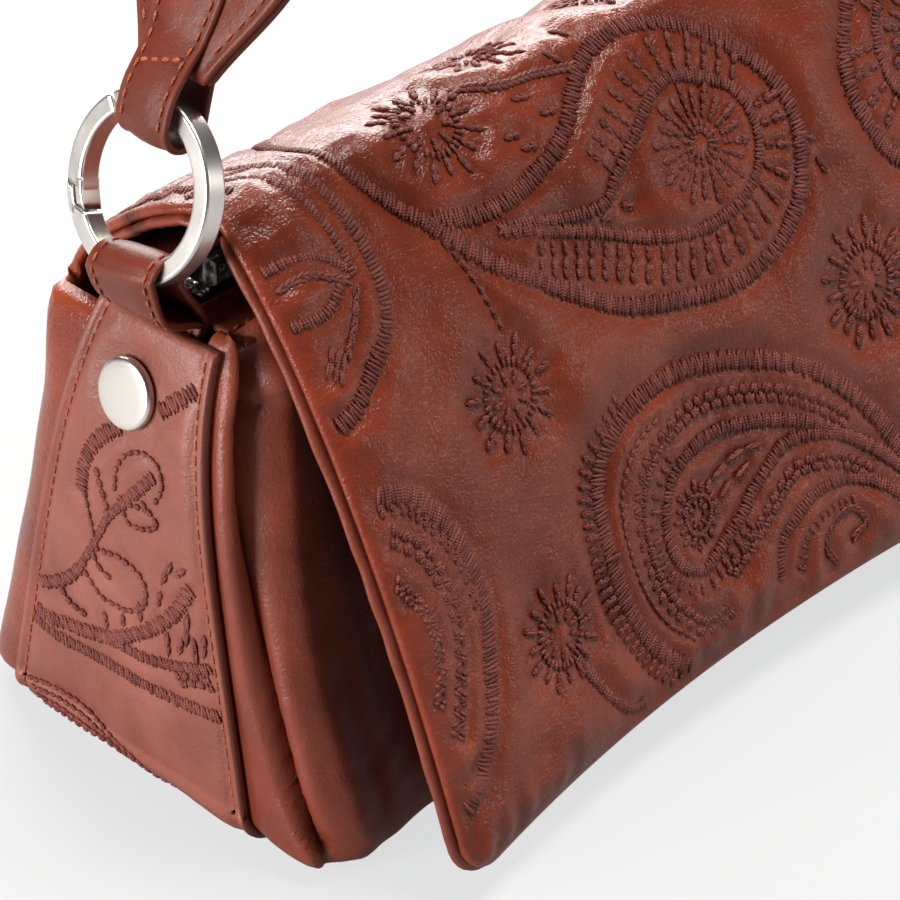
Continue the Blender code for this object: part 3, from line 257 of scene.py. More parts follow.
def sheet(name, middle, outward, edge, thick, radius, lift, surface, body, replaced=(), cells=None,
          paint=0.0):
    """A closed sheet of leather or cloth round a middle surface, its border rounded over and painted."""
    round_over = np.sqrt(np.clip(1 - (1 - np.clip(edge / radius, 0, 1))**2, 0, 1))[..., None]
    half = thick / 2 * round_over
    outer = middle + outward * (half + np.asarray(lift)[..., None] * (edge > 0)[..., None])
    inner = middle - outward * half
    painted = ramp(-edge, -1.6 * paint, -0.9 * paint)[..., None] if paint else 0 * edge[..., None]
    sides = [np.concatenate([face, painted], axis=-1) for face in (outer, inner)]
    points, faces = pillow(*sides, cells)
    weight = np.ones(middle[:-1, :-1].shape[:2]) if cells is None else cells.astype(float)
    if not facing(middle, outward, weight):
        faces = [face[::-1] for face in faces]
    obj = mesh_object(name, points[:, :3], faces, surface, body, replaced)
    layer = obj.data.attributes.new("painted", "FLOAT", "POINT")
    layer.data.foreach_set("value", np.ascontiguousarray(points[:, 3], np.float32))
    return obj


def loft(rings, closed=False):
    """Points and faces of a body through rings of points, capped at its ends unless it closes."""
    rings = np.asarray(rings)
    count, sides = rings.shape[:2]
    index = np.arange(count * sides).reshape(count, sides)
    last = count if closed else count - 1
    faces = []
    for i in range(last):
        low, high = index[i], index[(i + 1) % count]
        for j in range(sides):
            k = (j + 1) % sides
            faces.append([int(low[j]), int(low[k]), int(high[k]), int(high[j])])
    if not closed:
        faces += [index[0][::-1].tolist(), index[-1].tolist()]
    return rings.reshape(-1, 3), faces


def merged(parts):
    """Several closed bodies as one set of points and faces."""
    points, faces, base = [], [], 0
    for p, f in parts:
        points.append(p)
        faces += [[i + base for i in face] for face in f]
        base += len(p)
    return np.vstack(points), faces


# Materials


def material(name):
    """A new node material, with its tree and its shader."""
    made = bpy.data.materials.new(name)
    made.use_nodes = True
    return made, made.node_tree, made.node_tree.nodes["Principled BSDF"]


def node(tree, kind, values=(), **settings):
    """A node with its settings and its sockets' values."""
    made = tree.nodes.new(kind)
    for key, value in settings.items():
        setattr(made, key, value)
    for key, value in dict(values).items():
        made.inputs[key].default_value = value
    return made


def ramp_node(tree, source, stops):
    """A colour ramp over a value."""
    made = tree.nodes.new("ShaderNodeValToRGB")
    elements = made.color_ramp.elements
    while len(elements) < len(stops):
        elements.new(0.5)
    for element, (place, colour) in zip(elements, stops):
        element.position = place
        element.color = (*colour, 1)
    tree.links.new(source, made.inputs["Fac"])
    return made


def bump(tree, height, distance, strength, below=None):
    """A bump node, on top of another one where there is one."""
    made = node(tree, "ShaderNodeBump", {"Strength": strength, "Distance": distance})
    tree.links.new(height, made.inputs["Height"])
    if below:
        tree.links.new(below.outputs["Normal"], made.inputs["Normal"])
    return made


def noise(tree, place, scale, detail=2.0, distortion=0.0):
    """A noise texture in the object's own metres."""
    made = node(tree, "ShaderNodeTexNoise", {"Scale": scale, "Detail": detail, "Distortion": distortion})
    tree.links.new(place, made.inputs["Vector"])
    return made


def warp(tree, place, shift, reach):
    """Places pushed about by a noise's colours, up to a reach."""
    made = node(tree, "ShaderNodeVectorMath", operation="MULTIPLY_ADD")
    made.inputs[1].default_value = (reach, reach, reach)
    tree.links.new(shift.outputs["Color"], made.inputs[0])
    tree.links.new(place, made.inputs[2])
    return made.outputs[0]


def tint(tree, share, below, colour):
    """A colour laid over another by a share."""
    made = node(tree, "ShaderNodeMix", data_type="RGBA")
    made.inputs[7].default_value = (*colour, 1)
    tree.links.new(share, made.inputs["Factor"])
    tree.links.new(below, made.inputs[6])
    return made.outputs[2]


def set_roughness(tree, shader, source, low, high):
    """A surface's roughness between two values, by a source."""
    made = node(tree, "ShaderNodeMapRange", {"To Min": low, "To Max": high})
    tree.links.new(source, made.inputs["Value"])
    tree.links.new(made.outputs["Result"], shader.inputs["Roughness"])


# Heights of the fine relief, and how far the pores and the creases are pushed off their grid
PORE_DEPTH, CREASE_DEPTH, DENT_DEPTH, SWELL_DEPTH = 0.0004, 0.0010, 0.0022, 0.0060
PORE_WARP, CREASE_WARP = 0.0016, 0.012
PLY_DEPTH, SATIN_DEPTH, FIBRE_DEPTH = 0.00012, 0.00005, 0.0003


def leather(name, dark, mid, light, roughness, grain=1.0, specular=0.42):
    """Soft glazed leather: mottled dye, fine grain, creases and lighter, worn high places."""
    made, tree, shader = material(name)
    place = node(tree, "ShaderNodeTexCoord").outputs["Object"]
    mottle = noise(tree, place, 42.0, 5.0, 0.6)
    dye = ramp_node(tree, mottle.outputs["Fac"], ((0.30, dark), (0.52, mid), (0.74, light)))
    worn = node(tree, "ShaderNodeNewGeometry")
    wear = ramp_node(tree, worn.outputs["Pointiness"], ((0.50, (0, 0, 0)), (0.60, (1, 1, 1))))
    blended = tint(tree, wear.outputs["Color"], dye.outputs["Color"], light)
    painted = node(tree, "ShaderNodeAttribute", attribute_name="painted")
    edged = tint(tree, painted.outputs["Fac"], blended, EDGE_PAINT)
    tree.links.new(edged, shader.inputs["Base Color"])
    shader.inputs["Specular IOR Level"].default_value = specular
    pores = node(tree, "ShaderNodeTexVoronoi", {"Scale": 1050.0}, feature="DISTANCE_TO_EDGE")
    tree.links.new(warp(tree, place, noise(tree, place, 500.0), PORE_WARP), pores.inputs["Vector"])
    relief = bump(tree, pores.outputs["Distance"], PORE_DEPTH * grain, 0.40)
    stretched = node(tree, "ShaderNodeVectorMath", operation="MULTIPLY")
    stretched.inputs[1].default_value = (0.30, 1.0, 1.0)
    tree.links.new(warp(tree, place, noise(tree, place, 38.0), CREASE_WARP), stretched.inputs[0])
    crease = noise(tree, stretched.outputs[0], 780.0, 2.0, 0.6)
    relief = bump(tree, crease.outputs["Fac"], CREASE_DEPTH * grain, 0.20, relief)
    dents = noise(tree, place, 75.0, 3.0, 0.8)
    relief = bump(tree, dents.outputs["Fac"], DENT_DEPTH, 0.26, relief)
    swells = noise(tree, place, 30.0, 1.0, 0.4)
    relief = bump(tree, swells.outputs["Fac"], SWELL_DEPTH, 0.30, relief)
    tree.links.new(relief.outputs["Normal"], shader.inputs["Normal"])
    set_roughness(tree, shader, crease.outputs["Fac"], roughness - 0.07, roughness + 0.09)
    return made


def thread(name, dark, light, roughness):
    """Twisted thread: each stitch its own shade, with plies that run round it."""
    made, tree, shader = material(name)
    shade = node(tree, "ShaderNodeAttribute", attribute_name="shade")
    colours = ramp_node(tree, shade.outputs["Fac"], ((0.0, dark), (1.0, light)))
    tree.links.new(colours.outputs["Color"], shader.inputs["Base Color"])
    twist = node(tree, "ShaderNodeAttribute", attribute_name="twist")
    turn = node(tree, "ShaderNodeMath", operation="MULTIPLY")
    turn.inputs[1].default_value = 2 * math.pi
    tree.links.new(twist.outputs["Fac"], turn.inputs[0])
    wave = node(tree, "ShaderNodeMath", operation="SINE")
    tree.links.new(turn.outputs[0], wave.inputs[0])
    plies = bump(tree, wave.outputs[0], PLY_DEPTH, 0.5)
    tree.links.new(plies.outputs["Normal"], shader.inputs["Normal"])
    shader.inputs["Roughness"].default_value = roughness
    shader.inputs["Specular IOR Level"].default_value = 0.22
    return made


def cloth(name, dark, light, pitch, roughness):
    """Plain woven cloth: two crossed sets of yarns."""
    made, tree, shader = material(name)
    place = node(tree, "ShaderNodeTexCoord").outputs["Object"]
    heights = []
    for direction in ("X", "Z"):
        yarns = node(tree, "ShaderNodeTexWave", {"Scale": 0.31 / pitch, "Distortion": 0.4},
                     bands_direction=direction)
        tree.links.new(place, yarns.inputs["Vector"])
        heights.append(yarns.outputs["Fac"])
    weave = node(tree, "ShaderNodeMath", operation="MULTIPLY")
    for k, height in enumerate(heights):
        tree.links.new(height, weave.inputs[k])
    colours = ramp_node(tree, weave.outputs[0], ((0.0, dark), (0.8, light)))
    tree.links.new(colours.outputs["Color"], shader.inputs["Base Color"])
    raised = bump(tree, weave.outputs[0], pitch / 4, 0.5)
    tree.links.new(raised.outputs["Normal"], shader.inputs["Normal"])
    shader.inputs["Roughness"].default_value = roughness
    shader.inputs["Sheen Weight"].default_value = 0.2
    return made


def metal(name, colour, roughness, brushed=0.12):
    """Plated metal with a fine satin surface and small changes of gloss."""
    made, tree, shader = material(name)
    place = node(tree, "ShaderNodeTexCoord").outputs["Object"]
    shader.inputs["Base Color"].default_value = (*colour, 1)
    shader.inputs["Metallic"].default_value = 1.0
    fine = noise(tree, place, 1800.0, 3.0)
    satin = bump(tree, fine.outputs["Fac"], SATIN_DEPTH, brushed)
    tree.links.new(satin.outputs["Normal"], shader.inputs["Normal"])
    broad = noise(tree, place, 140.0, 4.0)
    set_roughness(tree, shader, broad.outputs["Fac"], roughness - 0.06, roughness + 0.08)
    return made


def board(name, dark, light):
    """Pressed fibre board."""
    made, tree, shader = material(name)
    place = node(tree, "ShaderNodeTexCoord").outputs["Object"]
    fibres = noise(tree, place, 400.0, 6.0, 0.5)
    colours = ramp_node(tree, fibres.outputs["Fac"], ((0.35, dark), (0.65, light)))
    tree.links.new(colours.outputs["Color"], shader.inputs["Base Color"])
    rough = bump(tree, fibres.outputs["Fac"], FIBRE_DEPTH, 0.3)
    tree.links.new(rough.outputs["Normal"], shader.inputs["Normal"])
    shader.inputs["Roughness"].default_value = 0.85
    return made


LINING_YARN, TAPE_YARN = 0.0007, 0.0006
EDGE_PAINT = (0.120, 0.0240, 0.0120)
LEATHER = leather("leather", (0.125, 0.0185, 0.0065), (0.180, 0.0280, 0.0102), (0.235, 0.0415, 0.0170),
                  0.29, 1.0, 0.33)
# The strip's leather is paler and less red than the rest: a painted sheen, standing in for the light that
# the strip reflects
SHEEN_PAINTED_LEATHER = leather("leather_painted_sheen", (0.155, 0.0360, 0.0210), (0.205, 0.0530, 0.0340),
                       (0.250, 0.0720, 0.0480), 0.46, 0.6, 0.46)
SMOOTH = leather("leather_smooth", (0.120, 0.0190, 0.0080), (0.165, 0.0285, 0.0130),
                 (0.215, 0.0420, 0.0205), 0.42, 0.6)
EDGE = leather("leather_edge", (0.088, 0.0150, 0.0068), (0.120, 0.0220, 0.0105), (0.160, 0.0330, 0.0170),
               0.44, 0.4, 0.26)
THREAD = thread("embroidery_thread", (0.125, 0.0320, 0.0245), (0.220, 0.0600, 0.0460), 0.55)
SEAM = thread("seam_thread", (0.250, 0.0560, 0.0210), (0.370, 0.0900, 0.0340), 0.55)
LINING = cloth("lining_cloth", (0.020, 0.010, 0.008), (0.060, 0.034, 0.028), LINING_YARN, 0.85)
TAPE = cloth("zip_tape_cloth", (0.022, 0.008, 0.005), (0.060, 0.022, 0.015), TAPE_YARN, 0.85)
NICKEL = metal("satin_nickel", (0.70, 0.67, 0.625), 0.30)
BRIGHT = metal("zip_metal", (0.82, 0.80, 0.77), 0.20, 0.05)
STEEL = metal("spring_steel", (0.62, 0.62, 0.62), 0.30)
BOARD = board("fibre_board", (0.22, 0.16, 0.10), (0.34, 0.26, 0.18))

CAD_SURFACES = {
    "satin_nickel": NICKEL,
    "zip_metal": BRIGHT,
    "spring_steel": STEEL,
    "board": BOARD,
}


# The body's surfaces

CORNER_TOP, CORNER_FRONT, CORNER_BACK, CORNER_GROWS = 0.0030, 0.0045, 0.0100, 0.030
FOOT = 0.0050
FOOT_ROWS = 5
UNDER_ROWS = 4
UNDER_DRAW = 0.985
CROWN_PULLS = (-0.0037, 0.0085), (0.0140, 0.0013)
FLAP_PULLS = (-0.0180, -0.0122), (0.0200, 0.0640)


def end_x(z):
    """How far out the body's end wall stands at a height."""
    return END_HALF - END_LEAN * (np.clip(z, 0, None) / HEIGHT)**END_POWER


def face_y(side, z):
    """The long wall at a height, beside the ends: the front with side -1, the back with side 1."""
    rise = np.clip(1 - z / HEIGHT, 0, 1)
    if side < 0:
        return -mix(FRONT_TOP, FRONT_BASE, rise**FRONT_POWER)
    return mix(BACK_TOP, BACK_BASE, rise**BACK_POWER)


def strip_half(z):
    """Half the width of the end strip at a height."""
    return mix(STRIP_BASE_HALF, STRIP_TOP_HALF, z / STRIP_TOP)


def strip_middle(z):
    """The middle line of the end strip at a height."""
    return STRIP_TOP_MIDDLE * z / STRIP_TOP


def seam_y(side, z):
    """The edge of a long panel, under the strip."""
    return strip_middle(z) + side * (strip_half(z) - OVERLAP)


def corner_radius(side, z):
    """The radius of the body's upright corners, small at the top."""
    return mix(CORNER_TOP, CORNER_FRONT if side < 0 else CORNER_BACK, ramp(HEIGHT - z, 0, CORNER_GROWS))


def wall_reach(side, z):
    """The distance from the middle of a long wall round its corner to its seam."""
    radius = corner_radius(side, z)
    return end_x(z) - radius + radius * math.pi / 2 + np.abs(face_y(side, z) - seam_y(side, z)) - radius


def wall(side, arc, z):
    """Points of a long wall and its directions outwards, by distance along it and height."""
    radius = corner_radius(side, z)
    flat = end_x(z) - radius
    a = np.abs(arc)
    turn = np.clip((a - flat) / radius, 0, math.pi / 2)
    past = np.clip(a - flat - radius * math.pi / 2, 0, None)
    sign = np.where(arc < 0, -1.0, 1.0)
    x = sign * (np.minimum(a, flat) + radius * np.sin(turn))
    y = face_y(side, z) - side * (radius * (1 - np.cos(turn)) + past)
    if side < 0:
        along = np.clip(1 - (np.minimum(a, flat) / END_HALF)**2, 0, None)**1.5
        y = y - FRONT_BULGE * along * np.sin(math.pi * np.clip(z / HEIGHT, 0, 1))
    out = np.stack([sign * np.sin(turn), side * np.cos(turn), 0 * turn], axis=-1)
    return np.stack([x, y, z + 0 * x], axis=-1), out


def foot_rows(side, arc, rows):
    """Rows of a wall that curl under its foot and run in to the seam below."""
    found = []
    for k in range(1, FOOT_ROWS + 1):
        turn = math.pi / 2 * k / FOOT_ROWS
        z = FLOOR + FOOT * (1 - math.sin(turn))
        point, out = wall(side, arc, np.full_like(arc, z))
        point = point - out * FOOT * (1 - math.cos(turn))
        tilt = unit(out * math.cos(turn) - UP * math.sin(turn))
        found.append((point, tilt))
    last = found[-1][0]
    for k in range(1, UNDER_ROWS + 1):
        share = k / UNDER_ROWS
        goal = last * np.array([UNDER_DRAW, 0, 1]) + np.array([0, 1, 0]) * seam_y(side, 0.0)
        found.append((mix(last, goal, share), np.broadcast_to(-UP, last.shape)))
    return rows + found


def crown_yz(share):
    """The outer line of the crown, from the back wall's top to the ridge."""
    start, ridge = np.array([BACK_TOP, HEIGHT]), np.array([RIDGE_Y, RIDGE_Z])
    return bezier((start, start + CROWN_PULLS[0], ridge + CROWN_PULLS[1], ridge), share)


def flap_yz(x, share):
    """The flap's outer line at a distance along the bag, from the ridge to its edge."""
    flare = np.minimum(1.3, np.abs(x) / FLAP_EDGE_HALF)**FLARE_POWER
    ridge = np.array([RIDGE_Y, RIDGE_Z])
    edge = np.stack([FLAP_EDGE_Y + flare * FLARE_Y, FLAP_EDGE_Z + flare * FLARE_Z], axis=-1)
    return bezier((ridge, ridge + FLAP_PULLS[0], edge + FLAP_PULLS[1], edge), share)


def lengths(points):
    """Distances along a line of points."""
    return np.concatenate([[0], np.cumsum(np.linalg.norm(np.diff(points, axis=0), axis=1))])


LINE_POINTS = 400
SHARES = np.linspace(0, 1, LINE_POINTS)
CROWN_AT = lengths(crown_yz(SHARES))
FLAP_AT = lengths(flap_yz(np.zeros(LINE_POINTS), SHARES))
CROWN = CROWN_AT[-1]
FLAP = FLAP_AT[-1]


def wrap_point(x, s):
    """The leather's outer face by distance along the bag and distance from the ridge, flap positive."""
    x, s = np.broadcast_arrays(np.asarray(x, float), np.asarray(s, float))
    flap = flap_yz(x, np.interp(s, FLAP_AT, SHARES))
    over = np.clip(s - FLAP, 0, None)[..., None]
    flap = flap - over * unit(np.array(FLAP_PULLS[1]))
    crown = crown_yz(np.interp(s + CROWN, CROWN_AT, SHARES))
    yz = np.where((s >= 0)[..., None], flap, crown)
    point = np.stack([x, yz[..., 0], yz[..., 1]], axis=-1)
    below = np.clip(HEIGHT + s + CROWN, FLOOR + FOOT, HEIGHT)
    back, _ = wall(1, x, below)
    return np.where((s < -CROWN)[..., None], back, point)


def wrap_normal(x, s):
    """The wrap's direction outwards."""
    step = 0.4 * MM
    along = wrap_point(x, s + step) - wrap_point(x, s - step)
    across = wrap_point(x + step, s) - wrap_point(x - step, s)
    return unit(np.cross(along, across))


# Stitches

THREAD_PLACES, THREAD_SIZES = np.array([0, 0.28, 0.72, 1.0]), np.array([0.22, 1.0, 1.0, 0.22])
THREAD_SIDES = 5
TWISTS_PER_MM = 1.6


def stitches(name, starts, ends, normals, width, height, surface, body, seed, arch=0.25):
    """Many short threads, each a small rounded body from one point to another."""
    width = np.broadcast_to(np.asarray(width, float), len(starts))[:, None, None]
    height = np.broadcast_to(np.asarray(height, float), len(starts))[:, None, None]
    draw = np.random.default_rng(seed)
    places, sizes, sides = THREAD_PLACES, THREAD_SIZES, THREAD_SIDES
    along = ends - starts
    side = unit(np.cross(along, normals))
    around = np.arange(sides) / sides
    spokes_w, spokes_h = np.cos(2 * math.pi * around), np.sin(2 * math.pi * around)
    rise = arch * np.sin(math.pi * places)
    centre = starts[:, None] + along[:, None] * places[None, :, None]
    centre = centre + normals[:, None] * (height[:, 0, None] * rise[None, :, None])
    half_w = width / 2 * sizes[None, :, None]
    half_h = height / 2 * sizes[None, :, None]
    points = centre[:, :, None] + side[:, None, None] * (half_w * spokes_w)[..., None]
    points = points + normals[:, None, None] * (half_h * spokes_h)[..., None]
    count, rows = len(starts), len(places)
    points = points.reshape(count * rows * sides, 3)
    block = []
    for i in range(rows - 1):
        for j in range(sides):
            k = (j + 1) % sides
            block.append([i * sides + j, i * sides + k, (i + 1) * sides + k, (i + 1) * sides + j])
    quads = (np.array(block)[None] + (np.arange(count) * rows * sides)[:, None, None]).reshape(-1, 4)
    caps = np.array([list(range(sides))[::-1], [(rows - 1) * sides + j for j in range(sides)]])
    caps = (caps[None] + (np.arange(count) * rows * sides)[:, None, None]).reshape(-1, sides)
    obj = mesh_object(name, points, quads.tolist() + caps.tolist(), surface, body)
    shade = np.repeat(draw.uniform(0, 1, count), rows * sides)
    reach = np.linalg.norm(along, axis=1)[:, None, None] * places[None, :, None] / MM
    turns = (reach * TWISTS_PER_MM + around[None, None]).reshape(-1)
    for key, values in (("shade", shade), ("twist", turns)):
        layer = obj.data.attributes.new(key, "FLOAT", "POINT")
        layer.data.foreach_set("value", np.ascontiguousarray(values, np.float32))


THREADS_PER_PIECE = 5000
STRAY = 0.09
BAND_RISE = 0.62


class Pattern:
    """Embroidery on a flat layout in millimetres: threads, and the places where they pull the leather in."""

    def __init__(self, limit, seed):
        self.limit = limit
        self.threads = []
        self.holds = []
        self.draw = np.random.default_rng(seed)

    def add(self, a, b, width, height):
        """One thread, unless it would run off the leather."""
        if self.limit(*a) and self.limit(*b):
            stray = self.draw.normal(0, STRAY, (2, 2))
            self.threads.append((a + stray[0], b + stray[1], width * self.draw.uniform(0.9, 1.1), height))

    def hold(self, place, reach):
        """A place where stitching holds the leather down."""
        if self.limit(*place):
            self.holds.append((place, reach))

    def band(self, points, width, pitch=0.86, slant=0.22, closed=False, thick=0.94):
        """A satin band: close threads laid across a line, there and back."""
        line = curve(points, pitch, closed)
        tangent = unit(np.gradient(line, axis=0))
        across = np.stack([-tangent[:, 1], tangent[:, 0]], axis=1)
        for k, (p, t, n) in enumerate(zip(line, tangent, across)):
            size = width / 2 * self.draw.uniform(0.90, 1.14)
            arm = n * size + t * slant * width / 2 * self.draw.uniform(0.6, 1.2) * (1 if k % 3 else -0.2)
            self.add(p - arm, p + arm, thick, BAND_RISE)
            self.hold(p, width / 2)

    def rope(self, points, width=1.7, pitch=1.5, closed=False):
        """A rope: long threads laid one over the next along a line."""
        line = curve(points, pitch, closed)
        tangent = unit(np.gradient(line, axis=0))
        across = np.stack([-tangent[:, 1], tangent[:, 0]], axis=1)
        for p, t, n in zip(line, tangent, across):
            for k in (-1, 1):
                arm = t * pitch * 0.95 + n * k * width / 4
                self.add(p + n * k * width / 5 - arm, p + n * k * width / 5 + arm, width / 2.1, 0.7)
            self.hold(p, width / 2)

    def grain(self, place, turn, length, width=1.5):
        """One lozenge of three strands."""
        t = np.array([math.cos(turn), math.sin(turn)])
        n = np.array([-t[1], t[0]])
        arm = t * length / 2
        self.add(place - arm, place + arm, width * 0.50, 0.85)
        for k in (-1, 1):
            shift = n * k * width * 0.32
            self.add(place - arm * 0.86 + shift * 0.2, place + shift, width * 0.48, 0.72)
            self.add(place + shift, place + arm * 0.86 + shift * 0.2, width * 0.48, 0.72)
        self.hold(place - t * length / 4, width / 2)
        self.hold(place + t * length / 4, width / 2)

    def beads(self, points, length=2.3, gap=0.7, width=1.3):
        """A line of small lozenges."""
        line = curve(points, length + gap)
        tangent = unit(np.gradient(line, axis=0))
        for p, t in zip(line, tangent):
            self.grain(p, math.atan2(t[1], t[0]), length, width)

    def fan(self, points, sign, near, length, every, width=1.6, lean=0.0, pair=True):
        """Petals that stand off one side of a line."""
        line = curve(points, every)
        tangent = unit(np.gradient(line, axis=0))
        for p, t in zip(line, tangent):
            n = sign * np.array([-t[1], t[0]]) + t * lean
            turn = math.atan2(n[1], n[0])
            n = unit(n)
            if pair:
                self.grain(p + n * (near + length * 0.20), turn, length * 0.42, width * 0.7)
                self.grain(p + n * (near + length * 0.70), turn, length * 0.58, width)
            else:
                self.grain(p + n * (near + length / 2), turn, length, width)

    def flower(self, place, radius, petals, turn=0.0, hollow=0.22, squeeze=1.0, ring=True):
        """A burst: long petals, a ring of stitches or petals, then petals round a bare middle."""
        c = np.asarray(place, float)
        outer = int(petals * 1.35) if ring else petals
        for k in range(outer):
            a = turn + 2 * math.pi * k / outer
            t = np.array([math.cos(a), math.sin(a) * squeeze])
            long = radius * (1.0 if k % 2 else 0.88)
            self.grain(c + t * long * 0.80, a, long * 0.38, max(1.5, radius * 0.125))
            if ring:
                for b in (a, a + math.pi / outer):
                    t = np.array([math.cos(b), math.sin(b) * squeeze])
                    self.add(c + t * radius * 0.44, c + t * radius * 0.60, 1.0, 0.8)
                    self.hold(c + t * radius * 0.52, 0.7)
            else:
                self.grain(c + t * radius * 0.52, a, radius * 0.24, 1.3)
        inner = max(7, int(petals * 0.75))
        for k in range(inner):
            a = turn + 2 * math.pi * (k + 0.5) / inner
            t = np.array([math.cos(a), math.sin(a) * squeeze])
            self.grain(c + t * radius * (hollow + 0.10), a, radius * 0.25, 1.2)

    def flowers(self, *bursts):
        """Several bursts, each by its place, radius, petals, turn and bare middle."""
        for burst in bursts:
            self.flower(*burst)

    def zigzag(self, points, width, step, thick=0.95):
        """A running zigzag along a line."""
        line = curve(points, step / 2)
        tangent = unit(np.gradient(line, axis=0))
        across = np.stack([-tangent[:, 1], tangent[:, 0]], axis=1)
        spots = [p + n * width / 2 * (1 if k % 2 else -1) for k, (p, n) in enumerate(zip(line, across))]
        for a, b in zip(spots, spots[1:]):
            m = (a + b) / 2
            side = unit(b - a)[::-1] * [-1, 1] * thick * 0.42
            for k in (-1, 1):
                self.add(a + side * k, m + side * k, thick, 0.75)
                self.add(m + side * k, b + side * k, thick, 0.75)
            for p in (a, m, b):
                self.hold(p, thick * 0.8)

    def outline(self, points, closed=False, step=2.2, thick=1.0):
        """A fine line of end-to-end threads."""
        line = curve(points, step, closed)
        for a, b in zip(line, line[1:]):
            self.add(a, b, thick, 0.85)
            self.hold((a + b) / 2, thick / 2)

    def depth(self, u, v, puff, spread):
        """How far the leather stands up at places, in millimetres: low by the threads, high between."""
        tree = KDTree(len(self.holds))
        reach = np.array([r for _, r in self.holds])
        for k, (p, _) in enumerate(self.holds):
            tree.insert((p[0], p[1], 0.0), k)
        tree.balance()
        flat_u, flat_v = np.ravel(u), np.ravel(v)
        found = np.empty(len(flat_u))
        for i in range(len(flat_u)):
            _, k, d = tree.find((flat_u[i], flat_v[i], 0.0))
            found[i] = d - reach[k]
        away = np.clip(found - 0.3, 0, None)
        near = np.exp(-(away / 5.0)**2) * (1 - np.exp(-away / 0.8))
        pulled = ripple(flat_u, flat_v, 3.6, 9) * 0.16 * near
        return (puff * (1 - np.exp(-away / spread)) + pulled).reshape(np.shape(u))


def shifted(points, dx=0.0, ds=0.0, flip=1, turn=0.0, scale=1.0):
    """A motif's points moved, mirrored, turned or scaled."""
    p = np.asarray(points, float) * scale
    p = p * [flip, 1]
    c, s = math.cos(turn), math.sin(turn)
    return p @ np.array([[c, s], [-s, c]]) + [dx, ds]


# The embroidery's own layout: X along the bag and distance from the ridge, in millimetres

PAISLEY = [(-74, 20), (-66, 30), (-57, 38), (-46, 46), (-36, 53), (-26, 57), (-15, 60), (-4, 62), (6, 61),
           (15, 57.5), (22, 52), (26, 44), (27.5, 36), (26, 28), (22, 21), (15, 13.5), (6, 7), (-4, 3.2),
           (-14, 3), (-22, 6), (-28, 11), (-33, 16), (-39, 19.3), (-46, 21.6), (-54, 23.2), (-62, 23.0),
           (-68, 21.5)]
TEAR = [(-58, 27.5), (-50, 31.5), (-42, 34.5), (-34, 38), (-26, 42), (-18, 45.5), (-9, 47.8), (0, 47.8),
        (7, 45.6), (13, 41.8), (16, 36), (16, 30), (13.5, 24), (7, 19.5), (0, 16.6), (-6, 16.8), (-12, 20),
        (-18, 24.5), (-25, 29.3), (-33, 33.5)]


def large_paisley(pattern, dx=0.0, ds=0.0, flip=1, turn=0.0, scale=1.0):
    """A big paisley: an outer band, an inner teardrop with petals, and a burst in its middle."""
    place = dict(dx=dx, ds=ds, flip=flip, turn=turn, scale=scale)
    outer, tear = shifted(PAISLEY, **place), shifted(TEAR, **place)
    pattern.band(outer, 4.0 * scale, closed=True)
    pattern.band(tear, 3.0 * scale, closed=True)
    away = 1 if flip > 0 else -1
    lower, upper = tear[1:12], tear[12:19]
    pattern.fan(lower, away, 1.6 * scale, 8.2 * scale, 3.9 * scale, 1.9)
    pattern.fan(upper, away, 1.6 * scale, 8.2 * scale, 3.7 * scale, 1.9)
    middle = shifted([(-0.5, 31.5)], **place)[0]
    pattern.flower(middle, 14.4 * scale, 20, turn, 0.16, 0.95, False)
    tip = shifted([(-24, 36), (-31, 36.4)], **place)
    for p in tip:
        pattern.grain(p, turn + 0.4 * flip, 4.0 * scale, 1.3 * scale)


